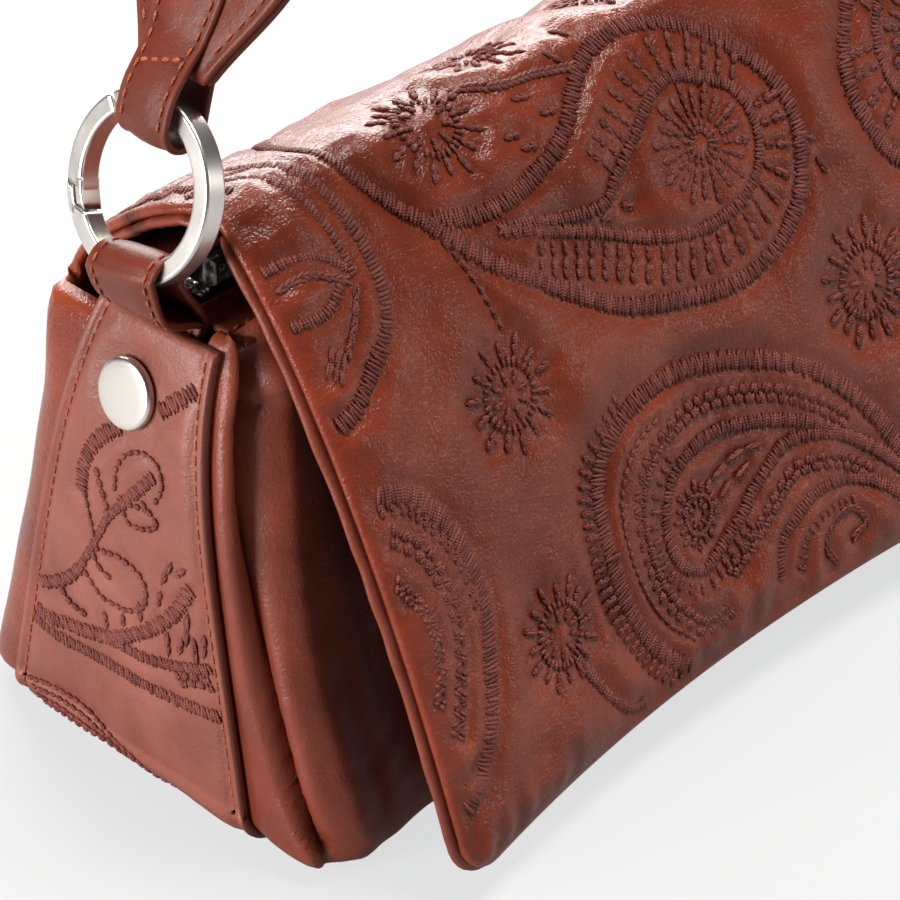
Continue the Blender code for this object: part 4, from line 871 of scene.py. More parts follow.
def flap_pattern(limit):
    """The embroidery of the flap and the crown."""
    pattern = Pattern(limit, 1)
    large_paisley(pattern)
    large_paisley(pattern, dx=73.0, flip=-1)
    pattern.band([(-74, 20), (-80, 13.5), (-86, 5.5), (-89.5, -3), (-89, -14), (-84, -26), (-74, -37)], 3.2)
    pattern.beads([(-72.5, 25), (-70, 31.5), (-68.3, 38), (-67, 44)])
    pattern.flowers(((-70, 57), 12.5, 11, 0.3, 0.2), ((-63, 2.5), 13.5, 12, 0.1, 0.26),
                    ((-38, -13), 11.5, 11, 0.2, 0.24), ((2, -16), 12.0, 11, 0.5, 0.24),
                    ((42, -14), 12.0, 11, 0.1, 0.24), ((82, -18), 12.0, 11, 0.4, 0.24))
    pattern.rope([(-52, -1.5), (-43, 2.4), (-33, 3.5), (-24, 5.4)], 2.2)
    for place, turn in (((-40, 6.5), 0.2), ((-35, 11.5), 0.2), ((-46, 12.5), 0.1), ((-43, 16), 0.15),
                        ((-33, -3), 0.5), ((-27, 2), 0.9), ((-20, -3.0), 1.2), ((29, 41), 0.6),
                        ((31, 48), 1.1)):
        pattern.grain(np.array(place, float), turn, 5.0, 1.5)
    pattern.band([(-112, -22), (-104, -13.5), (-99, -4), (-95.5, 3.5), (-92.5, 11), (-91.3, 19), (-92, 27),
                  (-95, 33), (-101, 38), (-108, 42), (-116, 43.5)], 3.8)
    pattern.band([(-116, -10), (-107, -5.5), (-102, 2), (-98.5, 9.5), (-97, 16), (-97, 21)], 2.6)
    pattern.band([(-116, 13.5), (-108, 14), (-102, 16), (-98, 19.5)], 2.2)
    pattern.rope([(-115, 17.5), (-107, 17.6), (-99, 21.5)], 1.8)
    pattern.band([(-115.5, 24), (-109, 25), (-104, 24), (-100.5, 21.5)], 2.2)
    pattern.rope([(-98, 24), (-101, 29), (-105, 33)], 1.5)
    for k in range(3):
        pattern.grain(np.array([-108.0 - 1.2 * k, 35.0 - 1.2 * k]), -0.8, 7.0, 1.4)
    pattern.flower((35, 76), 15.0, 13, 0.2, 0.18)
    lower = [(-6, 131.6), (-16, 132.2), (-26, 133), (-34, 133), (-42, 130.5), (-48, 125), (-52, 118),
             (-54.5, 110), (-55.8, 101), (-56, 93), (-54.5, 85), (-50, 78), (-43, 74), (-34, 72.4),
             (-25, 72.6), (-14, 75), (-3, 79), (7, 84), (16, 90.5), (24, 99), (31, 109), (36, 121)]
    pattern.band(lower, 4.4)
    pattern.fan(lower[2:13], -1, 1.6, 3.8, 2.3, 1.5, 0.2, False)
    pattern.outline([(-38, 127), (-43.5, 121), (-47.4, 114), (-50.2, 105), (-50.8, 96), (-48.6, 88),
                     (-43, 81.5), (-34, 78.6)])
    pattern.zigzag([(-26, 126), (-34, 126), (-39, 121), (-43, 114), (-45, 106), (-45.6, 98), (-43.6, 91),
                    (-38, 85.4), (-29, 82), (-19, 82), (-8, 84.6), (3, 89.3), (12, 95.5), (20, 102.5)], 4.2,
                   3.3)
    tear = [(34, 120), (26, 111.5), (17, 104), (9, 98.6), (1, 94.6), (-7, 91.6), (-15, 89.6), (-24, 89.0),
            (-31, 91), (-36, 95.5), (-38.6, 102), (-37, 110), (-31, 114.5), (-24, 113), (-16, 109),
            (-9, 104), (0, 100.4), (8, 101), (18, 105.5), (27, 112), (35, 121)]
    pattern.band(tear, 3.2)
    pattern.fan(tear[8:15], 1, 1.8, 3.4, 2.4, 1.4, 0.0, False)
    pattern.flower((-28.5, 103), 8.0, 13, 0.0, 0.2)
    for place, turn in (((-19.5, 97.5), -0.25), ((-14, 96.2), -0.1), ((-19, 102), -0.5),
                        ((-8.5, 96.4), 0.1), ((-13, 100.2), -0.4)):
        pattern.grain(np.array(place, float), turn, 5.6, 1.5)
    pattern.zigzag([(-23, 119.5), (-15, 115.5), (-7, 110.8), (1, 107), (9, 107.6), (17, 111), (25, 117)],
                   3.8, 3.3)
    pattern.band([(-9, 127), (-6.8, 120), (-1, 116), (7, 113.6), (17, 115.0), (26, 120), (33, 127)], 3.2)
    pattern.fan([(17, 118), (8, 117), (0, 120), (-4, 127)], -1, 0.6, 2.6, 2.4, 1.2, 0.0, False)
    pattern.rope([(8, 131), (6, 126), (10, 121.6), (16, 121.6), (19, 126), (15, 128)], 1.8)
    pattern.flower((-74, 106), 12.0, 12, 0.15, 0.22)
    pattern.band([(-71.5, 113), (-68.5, 119), (-65, 126), (-60, 131), (-53, 132.5)], 2.6)
    pattern.flower((86, 108), 12.5, 12, 0.3, 0.22)
    pattern.band([(84, 115), (80, 122), (74, 129), (66, 132)], 2.6)
    for flip in (-1, 1):
        half = [(111, 57.5), (103, 61.5), (97.5, 69), (94.5, 77), (93.3, 86), (94.3, 94.5), (97, 103),
                (101, 111), (107, 118), (114, 122)]
        half = [(x * flip, s) for x, s in half]
        pattern.band(half, 4.6)
        pattern.fan(half[:5], -flip, 1.2, 3.0, 2.7, 1.4, 0.3, False)
        for inner, width, step in (
                (((111, 65), (104.5, 72), (102.5, 80), (102.5, 89), (105, 98), (110, 107)), 4.2, 3.6),
                (((113.2, 73), (109.5, 81), (109, 90), (112, 99)), 2.6, 3.0)):
            pattern.zigzag([(x * flip, s) for x, s in inner], width, step)
    pattern.flower((66, 84), 9.5, 10, 0.0, 0.22)
    for x in (-96, -52, -12, 30, 70, 102):
        pattern.flower((x, -42 + 4 * math.sin(x)), 9.0, 9, x, 0.25)
    pattern.band([(-114.5, -40), (-114, -28), (-113.4, -17), (-112, -8), (-111, -3)], 2.8)
    pattern.band([(-112.5, -27), (-106, -25), (-101, -21)], 2.6)
    pattern.band([(-112, -12), (-106.5, -9), (-102, -8)], 2.4)
    pattern.rope([(-104, -31), (-98, -36), (-86, -33), (-74, -37), (-62, -31)], 1.8)
    pattern.rope([(46, -34), (56, -28), (66, -33), (80, -36), (92, -30)], 1.8)
    return pattern


def back_pattern(limit):
    """The embroidery of the back wall, by X and distance down from its top."""
    pattern = Pattern(limit, 2)
    large_paisley(pattern, dx=-42.0, ds=18.0, scale=0.9)
    large_paisley(pattern, dx=52.0, ds=96.0, flip=1, turn=math.pi, scale=0.9)
    pattern.flowers(((0, 28), 13.0, 12, 0.2, 0.2), ((96, 30), 13.0, 12, 0.5, 0.2),
                    ((-4, 84), 11.5, 11, 0.1, 0.2), ((-92, 84), 12.0, 11, 0.3, 0.2))
    pattern.band([(-112, 20), (-104, 28), (-99, 38), (-98, 50), (-101, 60), (-108, 68)], 3.6)
    pattern.beads([(2, 41), (5, 50), (2, 60), (-2, 70)])
    pattern.band([(-50, 92), (-38, 86), (-26, 88), (-18, 96)], 3.0)
    return pattern


def strip_pattern(limit):
    """The embroidery of one end, by distance from front to back and height."""
    pattern = Pattern(limit, 3)
    pattern.band([(-21.5, 102), (-17.5, 98.2), (-12.4, 93.6), (-7, 88), (0.5, 84), (6, 78), (8.6, 71.5),
                  (9.2, 66.5)], 3.6)
    pattern.outline([(8.6, 67), (7.0, 61.5), (5.6, 56.5)], thick=1.3)
    pattern.band([(-12, 79), (-7.6, 74), (-3.1, 69)], 3.2)
    pattern.band([(-3.1, 69), (1.6, 63), (5, 56.7), (11, 46.5)], 2.2)
    pattern.band([(11, 46.5), (15.5, 41.6), (21, 38), (28, 35.0)], 3.0)
    pattern.outline([(-1.3, 71), (-1.8, 77.5), (-6.7, 82.5), (-12.5, 82.5), (-14.6, 78), (-12.4, 73.2)],
                    thick=1.2)
    pattern.outline([(-3.1, 69), (-7.2, 70.6), (-10.6, 70.8)], thick=1.4)
    pattern.outline([(-3.6, 68), (-5.5, 65.0), (-13.3, 68.2), (-8.6, 72.4)], thick=1.3)
    pattern.outline([(9.6, 47.2), (4.0, 42.9), (-4.9, 44.2), (-9.8, 49.0), (-8.5, 54), (-1.3, 55.6),
                     (6, 54.2)], thick=1.4)
    pattern.outline([(6.4, 53.2), (4.6, 50.2), (0.6, 49.2)], thick=1.6)
    pattern.outline([(17.6, 38.6), (14.6, 35.8), (9.8, 35.2)], thick=1.8)
    pattern.outline([(4.6, 74), (2.6, 69.2), (1.2, 64.6), (2.6, 61.4)], thick=1.9)
    pattern.band([(28, 28.5), (17.6, 29.6), (3.8, 33.2), (-8.2, 40.5), (-17.5, 49.5), (-22.6, 58)], 3.6)
    pattern.band([(28.5, 26.5), (17.9, 25.4), (4.4, 26.6), (-6.1, 27.0), (-15.1, 27.8), (-29.5, 30.4)], 3.1)
    pattern.band([(5, 32.7), (-9.1, 34.2), (-18.1, 37.0), (-28.4, 41.5)], 2.8)
    for place, turn, length in (((3.4, 37.6), 1.5, 4.2), ((-2.2, 40.4), 1.6, 3.6), ((-7.6, 45.4), 1.5, 5.4),
                                ((-13.6, 51.4), 1.75, 4.6), ((-15.8, 58.6), 2.0, 7.6),
                                ((-19.6, 60.6), 2.4, 5.6), ((-15.4, 41.2), 1.6, 6.4),
                                ((-21.4, 47.8), 1.7, 9.2), ((-23.6, 43.6), 1.5, 7.0),
                                ((-26.2, 46.2), 1.6, 6.2), ((-19.2, 42.6), 1.8, 5.0)):
        pattern.grain(np.array(place), turn, length, 1.7)
    pattern.zigzag([(-18, 33.6), (-23, 36.4), (-28, 37.4)], 3.4, 3.0)
    for k in range(4):
        pattern.outline([(31 - k, 8.4 - 1.9 * k), (22, 10.6 - 2.3 * k), (12, 10.4 - 2.6 * k),
                         (2, 6.6 - 2.2 * k), (-8, 2.6 - 1.2 * k), (-15, 0.2 - 0.7 * k)], thick=1.2)
    return pattern


THREAD_LIFT = 0.16 * MM
SUNK = 0.75


def lay(name, pattern, place, normal, height, body, seed):
    """Puts a pattern's threads on a surface that is given in the pattern's own millimetres."""
    a, b, width, tall = (np.array(part) for part in zip(*pattern.threads))
    middle = (a + b) / 2
    n = normal(middle[:, 0], middle[:, 1])
    ends = []
    for p in (a, b):
        up = height(p[:, 0], p[:, 1]) * MM * SUNK + THREAD_LIFT
        ends.append(place(p[:, 0], p[:, 1]) + normal(p[:, 0], p[:, 1]) * up[:, None])
    count = math.ceil(len(a) / THREADS_PER_PIECE)
    for k, chosen in enumerate(np.array_split(np.argsort(middle[:, 0], kind="stable"), count)):
        piece = name if count == 1 else f"{name}_{k + 1}"
        stitches(piece, ends[0][chosen], ends[1][chosen], n[chosen], width[chosen] * MM, tall[chosen] * MM,
                 THREAD, body, seed + k)


def sample(line, at, where):
    """Places on a line, or directions along it, by distance from its start."""
    return np.stack([np.interp(where, at, line[:, k]) for k in range(3)], axis=1)


def sew(name, line, outward, pitch, length, body, seed, width=0.62, surface=SEAM):
    """A row of lock stitches along a line of 3D points with their outward directions."""
    at = lengths(line)
    count = int(at[-1] / pitch)
    share = (np.arange(count) + 0.5) * at[-1] / count
    a, b = sample(line, at, share - length / 2), sample(line, at, share + length / 2)
    n = unit(sample(outward, at, share))
    stitches(name, a, b, n, width * MM, width * 0.9 * MM, surface, body, seed, 0.1)


# The wrap: back wall, crown and flap in one skin

WRAP_STEP = 1.12 * MM
BACK_STEP = 2.4 * MM
SIDE_COLUMNS = 12
EDGE_ROUND = 1.5 * MM
EDGE_RING = 0.5 * MM
CROWN_JOIN = 12 * MM

# The back wall's relief is full above a height, and fades out between two distances along, in millimetres
BACK_FULL_Z = 0.016
BACK_FADE = (122, 131.5)

WRAP_BODY = ("bag", "flap", BLEND_START, BLEND_END)

# How near to the leather's edges the embroidery may come, in millimetres
FLAP_MARGIN, FLAP_FOOT_MARGIN, CROWN_MARGIN = 2.2, 2.6, 3
BACK_REACH, BACK_FIRST, BACK_LAST = 121, 2, 98


def on_flap(u, v):
    """True where a place of the flap's layout is on the leather, clear of its edges."""
    share = np.clip(v * MM / FLAP, 0, 1)
    half = mix(FLAP_RIDGE_HALF, FLAP_EDGE_HALF, share) / MM if v > 0 else CROWN_HALF / MM
    corner = max(0.0, abs(u) - (FLAP_EDGE_HALF - FLAP_CORNER) / MM)
    drop = FLAP_CORNER / MM - math.sqrt(max(0.0, (FLAP_CORNER / MM)**2 - corner**2))
    low = FLAP / MM - FLAP_FOOT_MARGIN - drop
    return abs(u) < half - FLAP_MARGIN and -CROWN / MM + CROWN_MARGIN < v < low


def on_back(u, v):
    """True where a place of the back's layout is on the leather."""
    return abs(u) < BACK_REACH and BACK_FIRST < v < BACK_LAST


FLAP_PATTERN = flap_pattern(on_flap)
BACK_PATTERN = back_pattern(on_back)


def flap_lift(u, v):
    """The padded leather's height over the flap and crown, in millimetres."""
    u, v = np.asarray(u, float), np.asarray(v, float)
    puff = FLAP_PATTERN.depth(u, v, 1.50, 2.8)
    in_side = mix(FLAP_RIDGE_HALF, FLAP_EDGE_HALF, np.clip(v * MM / FLAP, 0, 1)) / MM - np.abs(u)
    inset = np.where(v > 0, np.minimum(in_side, FLAP / MM - v), in_side)
    calm = ramp(inset, 1, 12)
    soft = waves(u, v, (46.0, 3, 0.85), (19.0, 4, 0.70), (6.0, 6, 0.08))
    along = np.where(in_side < FLAP / MM - v, v, u)
    pulls = ripple(along, 0 * along, 6.5, 7) * 0.50 * ramp(inset, 1.5, 4) * ramp(-inset, -16, -5)
    seam = 0.9 * (1 - np.exp(-(np.clip(inset - 2.2, 0, None) / 2.4)**2))
    return puff * mix(0.4, 1.0, calm) + soft * mix(0.25, 1.0, calm) + pulls + seam * ramp(-inset, -30, -8)


def back_lift(u, v):
    """The padded leather's height over the back wall, in millimetres."""
    puff = BACK_PATTERN.depth(u, v, 1.1, 2.8)
    soft = ripple(u, v, 40.0, 13) * 0.8 + ripple(u, v * 0.4, 16.0, 14) * 0.3
    return puff + soft * ramp(v, 0, 12)


def wrap_columns():
    """Places across the wrap as shares of its half width, close together at the edges."""
    count = int(round(2 * CROWN_HALF / WRAP_STEP))
    return edge_steps(2.0, EDGE_ROUND / CROWN_HALF, 2.0 / count) - 1


def widen(grid):
    """A grid of the crown and flap, with blank columns where only the back wall has leather."""
    blank = np.zeros((grid.shape[0], SIDE_COLUMNS) + grid.shape[2:])
    return np.concatenate([blank, grid, blank], axis=1)


def wrap_top(across):
    """The crown and the flap as grids: middle, outward direction, distance to the edge, lift."""
    flap_rows = edge_steps(1.0, EDGE_ROUND / FLAP, WRAP_STEP / FLAP)[3:]
    crown_rows = np.linspace(-CROWN, 0, int(round(CROWN / WRAP_STEP)), endpoint=False)
    half = mix(FLAP_RIDGE_HALF, FLAP_EDGE_HALF, flap_rows)[:, None]
    past = np.clip(np.abs(across) * half - (half - FLAP_CORNER), 0, FLAP_CORNER)
    drop = FLAP_CORNER - np.sqrt(np.clip(FLAP_CORNER**2 - past**2, 0, None))
    flap_s = (FLAP - drop) * flap_rows[:, None]
    flap_edge = np.minimum((1 - np.abs(across)) * FLAP_EDGE_HALF, (1 - flap_rows)[:, None] * FLAP)
    join = ramp(crown_rows, -CROWN_JOIN, 0)[:, None]
    crown_x = across * CROWN_HALF * mix(1.0, FLAP_RIDGE_HALF / CROWN_HALF, join)
    crown_s = np.broadcast_to(crown_rows[:, None], crown_x.shape)
    crown_edge = np.broadcast_to((1 - np.abs(across)) * CROWN_HALF, crown_x.shape)
    x, s = np.vstack([crown_x, across * half]), np.vstack([crown_s, flap_s])
    edge = np.vstack([crown_edge, flap_edge])
    normal = wrap_normal(x, s)
    lift = flap_lift(x / MM, s / MM) * MM * ramp(edge, 0, 3 * MM)
    return [widen(grid) for grid in (wrap_point(x, s) - normal * WRAP / 2, normal, edge, lift)]


def wrap_low(across):
    """The back wall as the same grids, from the seam under its foot up to the crown."""
    levels = np.linspace(HEIGHT, FLOOR + FOOT, int(round((HEIGHT - FLOOR - FOOT) / BACK_STEP)) + 1)[1:]
    extra = np.linspace(0, 1, SIDE_COLUMNS + 1)[1:]
    rows = []
    for z in levels:
        more = CROWN_HALF + (wall_reach(1, z) - CROWN_HALF) * extra
        arc = np.concatenate([-more[::-1], across * CROWN_HALF, more])
        rows.append(wall(1, arc, np.full_like(arc, z)))
    points, out = (np.stack(grid) for grid in zip(*foot_rows(1, arc, rows)))
    x, z = points[..., 0], points[..., 2]
    u = np.where(np.abs(x) > 1 * MM, x, 0) / MM
    fade = ramp(z, FLOOR, BACK_FULL_Z) * ramp(-np.abs(u), -BACK_FADE[1], -BACK_FADE[0])
    lift = back_lift(u, (HEIGHT - z) / MM) * MM * fade
    edge = np.full(lift.shape, 1.0)
    edge[:, 0] = edge[:, -1] = edge[-1] = 0
    for k in range(1, 3):
        edge[:-1, k] = edge[:-1, -1 - k] = EDGE_RING * k
        edge[-1 - k, 1:-1] = np.minimum(edge[-1 - k, 1:-1], EDGE_RING * k)
    edge[0, :SIDE_COLUMNS] = edge[0, -SIDE_COLUMNS:] = 0
    return [grid[::-1] for grid in (points - out * WRAP / 2, out, edge, lift)]


def make_wrap():
    """The one skin that is back wall, crown and flap."""
    across = wrap_columns()
    low, top = wrap_low(across), wrap_top(across)
    middle, outward, edge, lift = (np.concatenate(pair) for pair in zip(low, top))
    cells = np.ones((middle.shape[0] - 1, middle.shape[1] - 1), bool)
    start = len(low[0]) - 1
    cells[start:, :SIDE_COLUMNS] = cells[start:, -SIDE_COLUMNS:] = False
    wrap = sheet("wrap_leather", middle, outward, edge, WRAP, EDGE_ROUND, lift, LEATHER,
                 WRAP_BODY, ("back_panel", "flap_panel"), cells)


def layout_point(u, v):
    """A point of the flap's layout, in metres."""
    return wrap_point(u * MM, v * MM)


def layout_normal(u, v):
    """The direction outwards there."""
    return wrap_normal(u * MM, v * MM)


def back_point(u, v):
    """A point of the back wall's layout, in metres."""
    return wall(1, u * MM, HEIGHT - v * MM)[0]


def back_normal(u, v):
    """The direction outwards there."""
    return wall(1, u * MM, HEIGHT - v * MM)[1]


BORDER_STEP, BORDER_START = 1.6 * MM, 4 * MM


def border(margin, depth):
    """A line round the flap's border from the ridge on the left to the ridge on the right."""
    radius = FLAP_CORNER - margin
    foot = FLAP - margin - radius
    side = np.arange(BORDER_START, foot, BORDER_STEP)
    path = [(-(mix(FLAP_RIDGE_HALF, FLAP_EDGE_HALF, b / FLAP) - margin), b) for b in side]
    out = FLAP_EDGE_HALF - margin - radius
    for a in np.linspace(0, math.pi / 2, 9):
        path.append((-(out + radius * math.cos(a)), foot + radius * math.sin(a)))
    left = np.array(path)
    bottom = np.arange(-out + BORDER_STEP, 0, BORDER_STEP)
    left = np.vstack([left, np.stack([bottom, np.full_like(bottom, foot + radius)], axis=1)])
    path = np.vstack([left, [[0, foot + radius]], left[::-1] * [-1, 1]])
    x, s = path[:, 0], path[:, 1]
    normal = wrap_normal(x, np.minimum(s, FLAP - 1 * MM))
    tangent = unit(np.gradient(wrap_point(x, s), axis=0))
    return wrap_point(x, s) - normal * depth, normal, unit(np.cross(normal, tangent))


def tube(name, line, normal, side, wide, thick, surface, body, replaced=(), sides=10, ends=6):
    """A soft roll along a line, its ends rounded off."""
    turns = 2 * math.pi * (np.arange(sides) + 0.5) / sides
    size = np.sqrt(np.clip(1 - (1 - np.clip(np.arange(len(line)) / ends, 0, 1))**2, 0.02, 1))
    size = size * size[::-1]
    rings = line[:, None] + side[:, None] * (np.cos(turns)[None, :, None] * wide / 2 * size[:, None, None])
    rings = rings + normal[:, None] * (np.sin(turns)[None, :, None] * thick / 2 * size[:, None, None])
    points, faces = loft(rings)
    return mesh_object(name, points, faces, surface, body, replaced)


LINING_THICK = 1.0 * MM
LINING_HALF, LINING_START, LINING_INSET = 0.11, 0.003, 5.5 * MM
CROWN_LINING_START, CROWN_LINING_END, CROWN_LINING_INSET = 0.80, 0.003, 7.3 * MM


def make_flap_parts():
    """The rolled edge and the lining under the flap, with the seam between roll and panel."""
    line, normal, side = border(1.2 * MM, WRAP + 1.3 * MM)
    along = np.arange(len(line)) * BORDER_STEP / MM
    wobble = waves(along, 0, (30.0, 21, 0.30), (9.0, 24, 0.16))[:, None] * MM
    tube("flap_edge_roll_leather", line + side * wobble, normal, side, 4.6 * MM, 2.6 * MM, SMOOTH,
         "flap", ("flap_edge_roll",), 14)
    line, normal, _ = border(2.3 * MM, WRAP + 0.05 * MM)
    sew("flap_edge_stitches", line - normal * 0.1 * MM, normal, 3.2 * MM, 2.2 * MM, "flap", 31, 0.5,
        THREAD)
    share = edge_steps(1.0, 0.010, 1 / 70)
    across = edge_steps(2.0, 0.012, 2 / 90) - 1
    s = mix(LINING_START, FLAP - LINING_INSET, share)[:, None] + 0 * across
    x = across * (mix(FLAP_RIDGE_HALF, FLAP_EDGE_HALF, s / FLAP) - LINING_INSET)
    normal = wrap_normal(x, s)
    middle = wrap_point(x, s) - normal * (WRAP + CLEAR + LINING_THICK / 2)
    edge = np.minimum((1 - np.abs(across)) * LINING_HALF, np.minimum(share, 1 - share)[:, None] * FLAP)
    soft = ripple(x / MM, s / MM, 24.0, 22) * 0.12 * MM * ramp(edge, 0, 4 * MM)
    sheet("flap_lining_cloth", middle, -normal, edge, LINING_THICK, LINING_THICK / 2, soft, LINING,
          "flap", ("flap_lining",))


def make_crown_parts():
    """The rolls at the crown's ends and the lining under it."""
    for end, sign in SIDES:
        s = np.linspace(-CROWN * 0.97, -0.004, 40)
        x = np.full_like(s, sign * (CROWN_HALF - 1.6 * MM))
        normal = wrap_normal(x, s)
        gathered = ripple(s / MM, 0, 5.0, 23)[:, None] * 0.22 * MM
        line = wrap_point(x, s) - normal * (WRAP + 1.2 * MM + gathered)
        side = np.broadcast_to([1.0, 0.0, 0.0], line.shape)
        tube(f"crown_roll_{end}_leather", line, normal, side, 4.4 * MM, 2.4 * MM, SMOOTH,
             "bag", (f"crown_roll_{end}",))
    share = edge_steps(1.0, 0.02, 0.04)
    across = edge_steps(2.0, 0.010, 0.02) - 1
    s = mix(-CROWN * CROWN_LINING_START, -CROWN_LINING_END, share)[:, None] + 0 * across
    x = across * (CROWN_HALF - CROWN_LINING_INSET) + 0 * s
    normal = wrap_normal(x, s)
    middle = wrap_point(x, s) - normal * (WRAP + CLEAR + LINING_THICK / 2)
    edge = np.minimum((1 - np.abs(across)) * CROWN_HALF, np.minimum(share, 1 - share)[:, None] * CROWN)
    sheet("crown_lining_cloth", middle, -normal, edge, LINING_THICK, LINING_THICK / 2, 0 * edge, LINING,
          "bag", ("crown_lining",))


# The front wall, which comes out from under the strip in one small roll, a groove and then the full panel

# How wide the small roll is, by height
BAND_LEVELS = (0, 0.006, 0.012, 0.020, 0.040, 0.070, 0.095, HEIGHT)
BAND_WIDTHS = (0.0280, 0.0200, 0.0155, 0.0124, 0.0088, 0.0070, 0.0054, 0.0044)
PUCKER_Z, TUCK_Z = 0.1015, 0.0955
TOP_ROLL = 3.0 * MM


def front_shape(q, z, a):
    """How far the front leather stands off the plain wall, by distance from its seam and height."""
    band = np.interp(z, BAND_LEVELS, BAND_WIDTHS)
    roll = 1.7 * MM * np.sin(math.pi * np.clip((q - OVERLAP) / band, 0, 1))
    past = q - (OVERLAP + band)
    dip = -6.0 * MM * np.exp(-(past / np.where(past < 0, 1.15 * MM, 3.0 * MM))**2)
    crest = 3.6 * MM * ramp(past, 0, 10 * MM) * ramp(-past, -34 * MM, -12 * MM)
    hollow = -FRONT_HOLLOW * ramp(past, 9 * MM, 36 * MM) * ramp(-past, -110 * MM, -60 * MM)
    hollow = hollow * ramp(z, 6 * MM, 30 * MM)
    fold = ripple(a / MM, z / MM * 0.22, 15.0, 41) * 0.75 * MM + ripple(a / MM, z / MM, 7.0, 42) * 0.10 * MM
    fold = fold * ramp(past, 2 * MM, 12 * MM)
    sag = ripple(a / MM * 0.6, z / MM, 6.0, 43) * 0.22 * MM * ramp(z, 40 * MM, 12 * MM)
    sag = sag * ramp(past, 0, 8 * MM)
    fade = ramp(z, FLOOR, FLOOR + 6 * MM) * ramp(z, HEIGHT + 4 * MM, HEIGHT - 6 * MM)
    pucker = 3.2 * MM * np.exp(-((past - 5 * MM) / (5.5 * MM))**2 - ((z - PUCKER_Z) / (4.6 * MM))**2)
    tuck_line = z - TUCK_Z - past * 0.35
    tuck = -2.0 * MM * np.exp(-((past - 3 * MM) / (4 * MM))**2 - (tuck_line / (1.6 * MM))**2)
    return (roll + dip + crest + hollow + fold + sag) * fade + pucker + tuck


def make_front():
    """The soft front wall."""
    levels = np.linspace(HEIGHT, FLOOR + FOOT, 74)
    share = edge_steps(2.0, 0.010, 2 / 224) - 1
    rim = 1 - (1 - np.abs(share))**1.35
    rows, lifts = [], []
    for z in levels:
        reach = wall_reach(-1, z)
        arc = np.sign(share) * rim * reach
        point, out = wall(-1, arc, np.full_like(arc, z))
        rows.append((point, out))
        lifts.append(front_shape(reach - np.abs(arc), z, arc))
    rows = foot_rows(-1, arc, rows)
    lifts += [lifts[-1] * (1 - k / FOOT_ROWS) for k in range(1, FOOT_ROWS + 1)]
    lifts += [0 * arc] * UNDER_ROWS
    top, away = rows[0]
    rolled = []
    for turn in np.linspace(math.radians(125), math.radians(20), 7):
        place = top + UP * TOP_ROLL * math.sin(turn) - away * TOP_ROLL * (1 - math.cos(turn))
        rolled.append((place, away * math.cos(turn) + UP * math.sin(turn)))
    rows = rolled + rows
    lifts = [lifts[0]] * len(rolled) + lifts
    points = np.stack([p for p, _ in rows])
    out = np.stack([n for _, n in rows])
    lift = np.stack(lifts)
    edge = np.full(lift.shape, 1.0)
    for k in range(3):
        value = EDGE_RING * k
        edge[:, k] = np.minimum(edge[:, k], value)
        edge[:, -1 - k] = np.minimum(edge[:, -1 - k], value)
        edge[k] = np.minimum(edge[k], value)
        edge[-1 - k] = np.minimum(edge[-1 - k], value)
    shape = lift * ramp(edge, 0, 1.5 * MM)
    middle = points - out * SKIN / 2 + out * shape[..., None]
    sheet("front_leather", middle, out, edge, SKIN, 1.2 * MM, 0 * lift, SMOOTH, "bag",
          ("front_panel",))


# The strip down one end, under the base and up the other

STRIP_STEP = 1.2 * MM


def strip_path():
    """Places along the strip: X, height, the height for its width, its layout's, and its outward way."""
    out = STRIP_OUT
    z = np.arange(STRIP_TOP, STRIP_CORNER, -STRIP_STEP)
    slope = -END_LEAN * END_POWER / HEIGHT * (z / HEIGHT)**(END_POWER - 1)
    side = [(end_x(h) + out, h, h, h, *unit(np.array([1.0, -g]))) for h, g in zip(z, slope)]
    foot = end_x(STRIP_CORNER) + out - STRIP_CORNER
    for a in np.linspace(0, math.pi / 2, 12):
        point = (foot + STRIP_CORNER * math.cos(a), STRIP_CORNER * (1 - math.sin(a)))
        side.append((*point, point[1], STRIP_CORNER * (1 - a), math.cos(a), -math.sin(a)))
    under = STRIP_CORNER * (1 - math.pi / 2)
    base = [(foot * t, 0.0, 0.0, under, 0.0, -1.0) for t in np.linspace(-1, 1, 64)[1:-1]]
    left = [(-x, z, at, flat, -nx, nz) for x, z, at, flat, nx, nz in side]
    return np.array([*left, *base, *side[::-1]])


def strip_place(sign, u, v):
    """A point of the strip's outer face by distance from front to back and height along the leather."""
    h = v * MM
    turn = np.clip(1 - h / STRIP_CORNER, 0, math.pi / 2)
    foot = end_x(STRIP_CORNER) + STRIP_OUT - STRIP_CORNER
    x = np.where(turn > 0, foot + STRIP_CORNER * np.cos(turn), end_x(h) + STRIP_OUT)
    z = np.where(turn > 0, STRIP_CORNER * (1 - np.sin(turn)), h)
    return np.stack([sign * x, u * MM, z], axis=-1)


def strip_normal(sign, u, v):
    """The direction outwards there."""
    h = np.clip(v * MM, 0, None)
    turn = np.clip(1 - v * MM / STRIP_CORNER, 0, math.pi / 2)
    slope = END_LEAN * END_POWER / HEIGHT * (h / HEIGHT)**(END_POWER - 1)
    return unit(np.stack([sign * np.cos(turn), 0 * slope, slope - np.sin(turn)], axis=-1))


def on_strip(u, v):
    """True where a place of the strip's layout is on it, clear of its edges and of the rivet."""
    z = max(0.0, v * MM)
    inside = abs(u - strip_middle(z) / MM) < strip_half(z) / MM - 2.9
    rivet = math.hypot(u - RIVET_Y / MM, v - RIVET_Z / MM)
    return inside and -4.0 < v < 106 and rivet > RIVET_RADIUS / MM


STRIP_PATTERN = strip_pattern(on_strip)


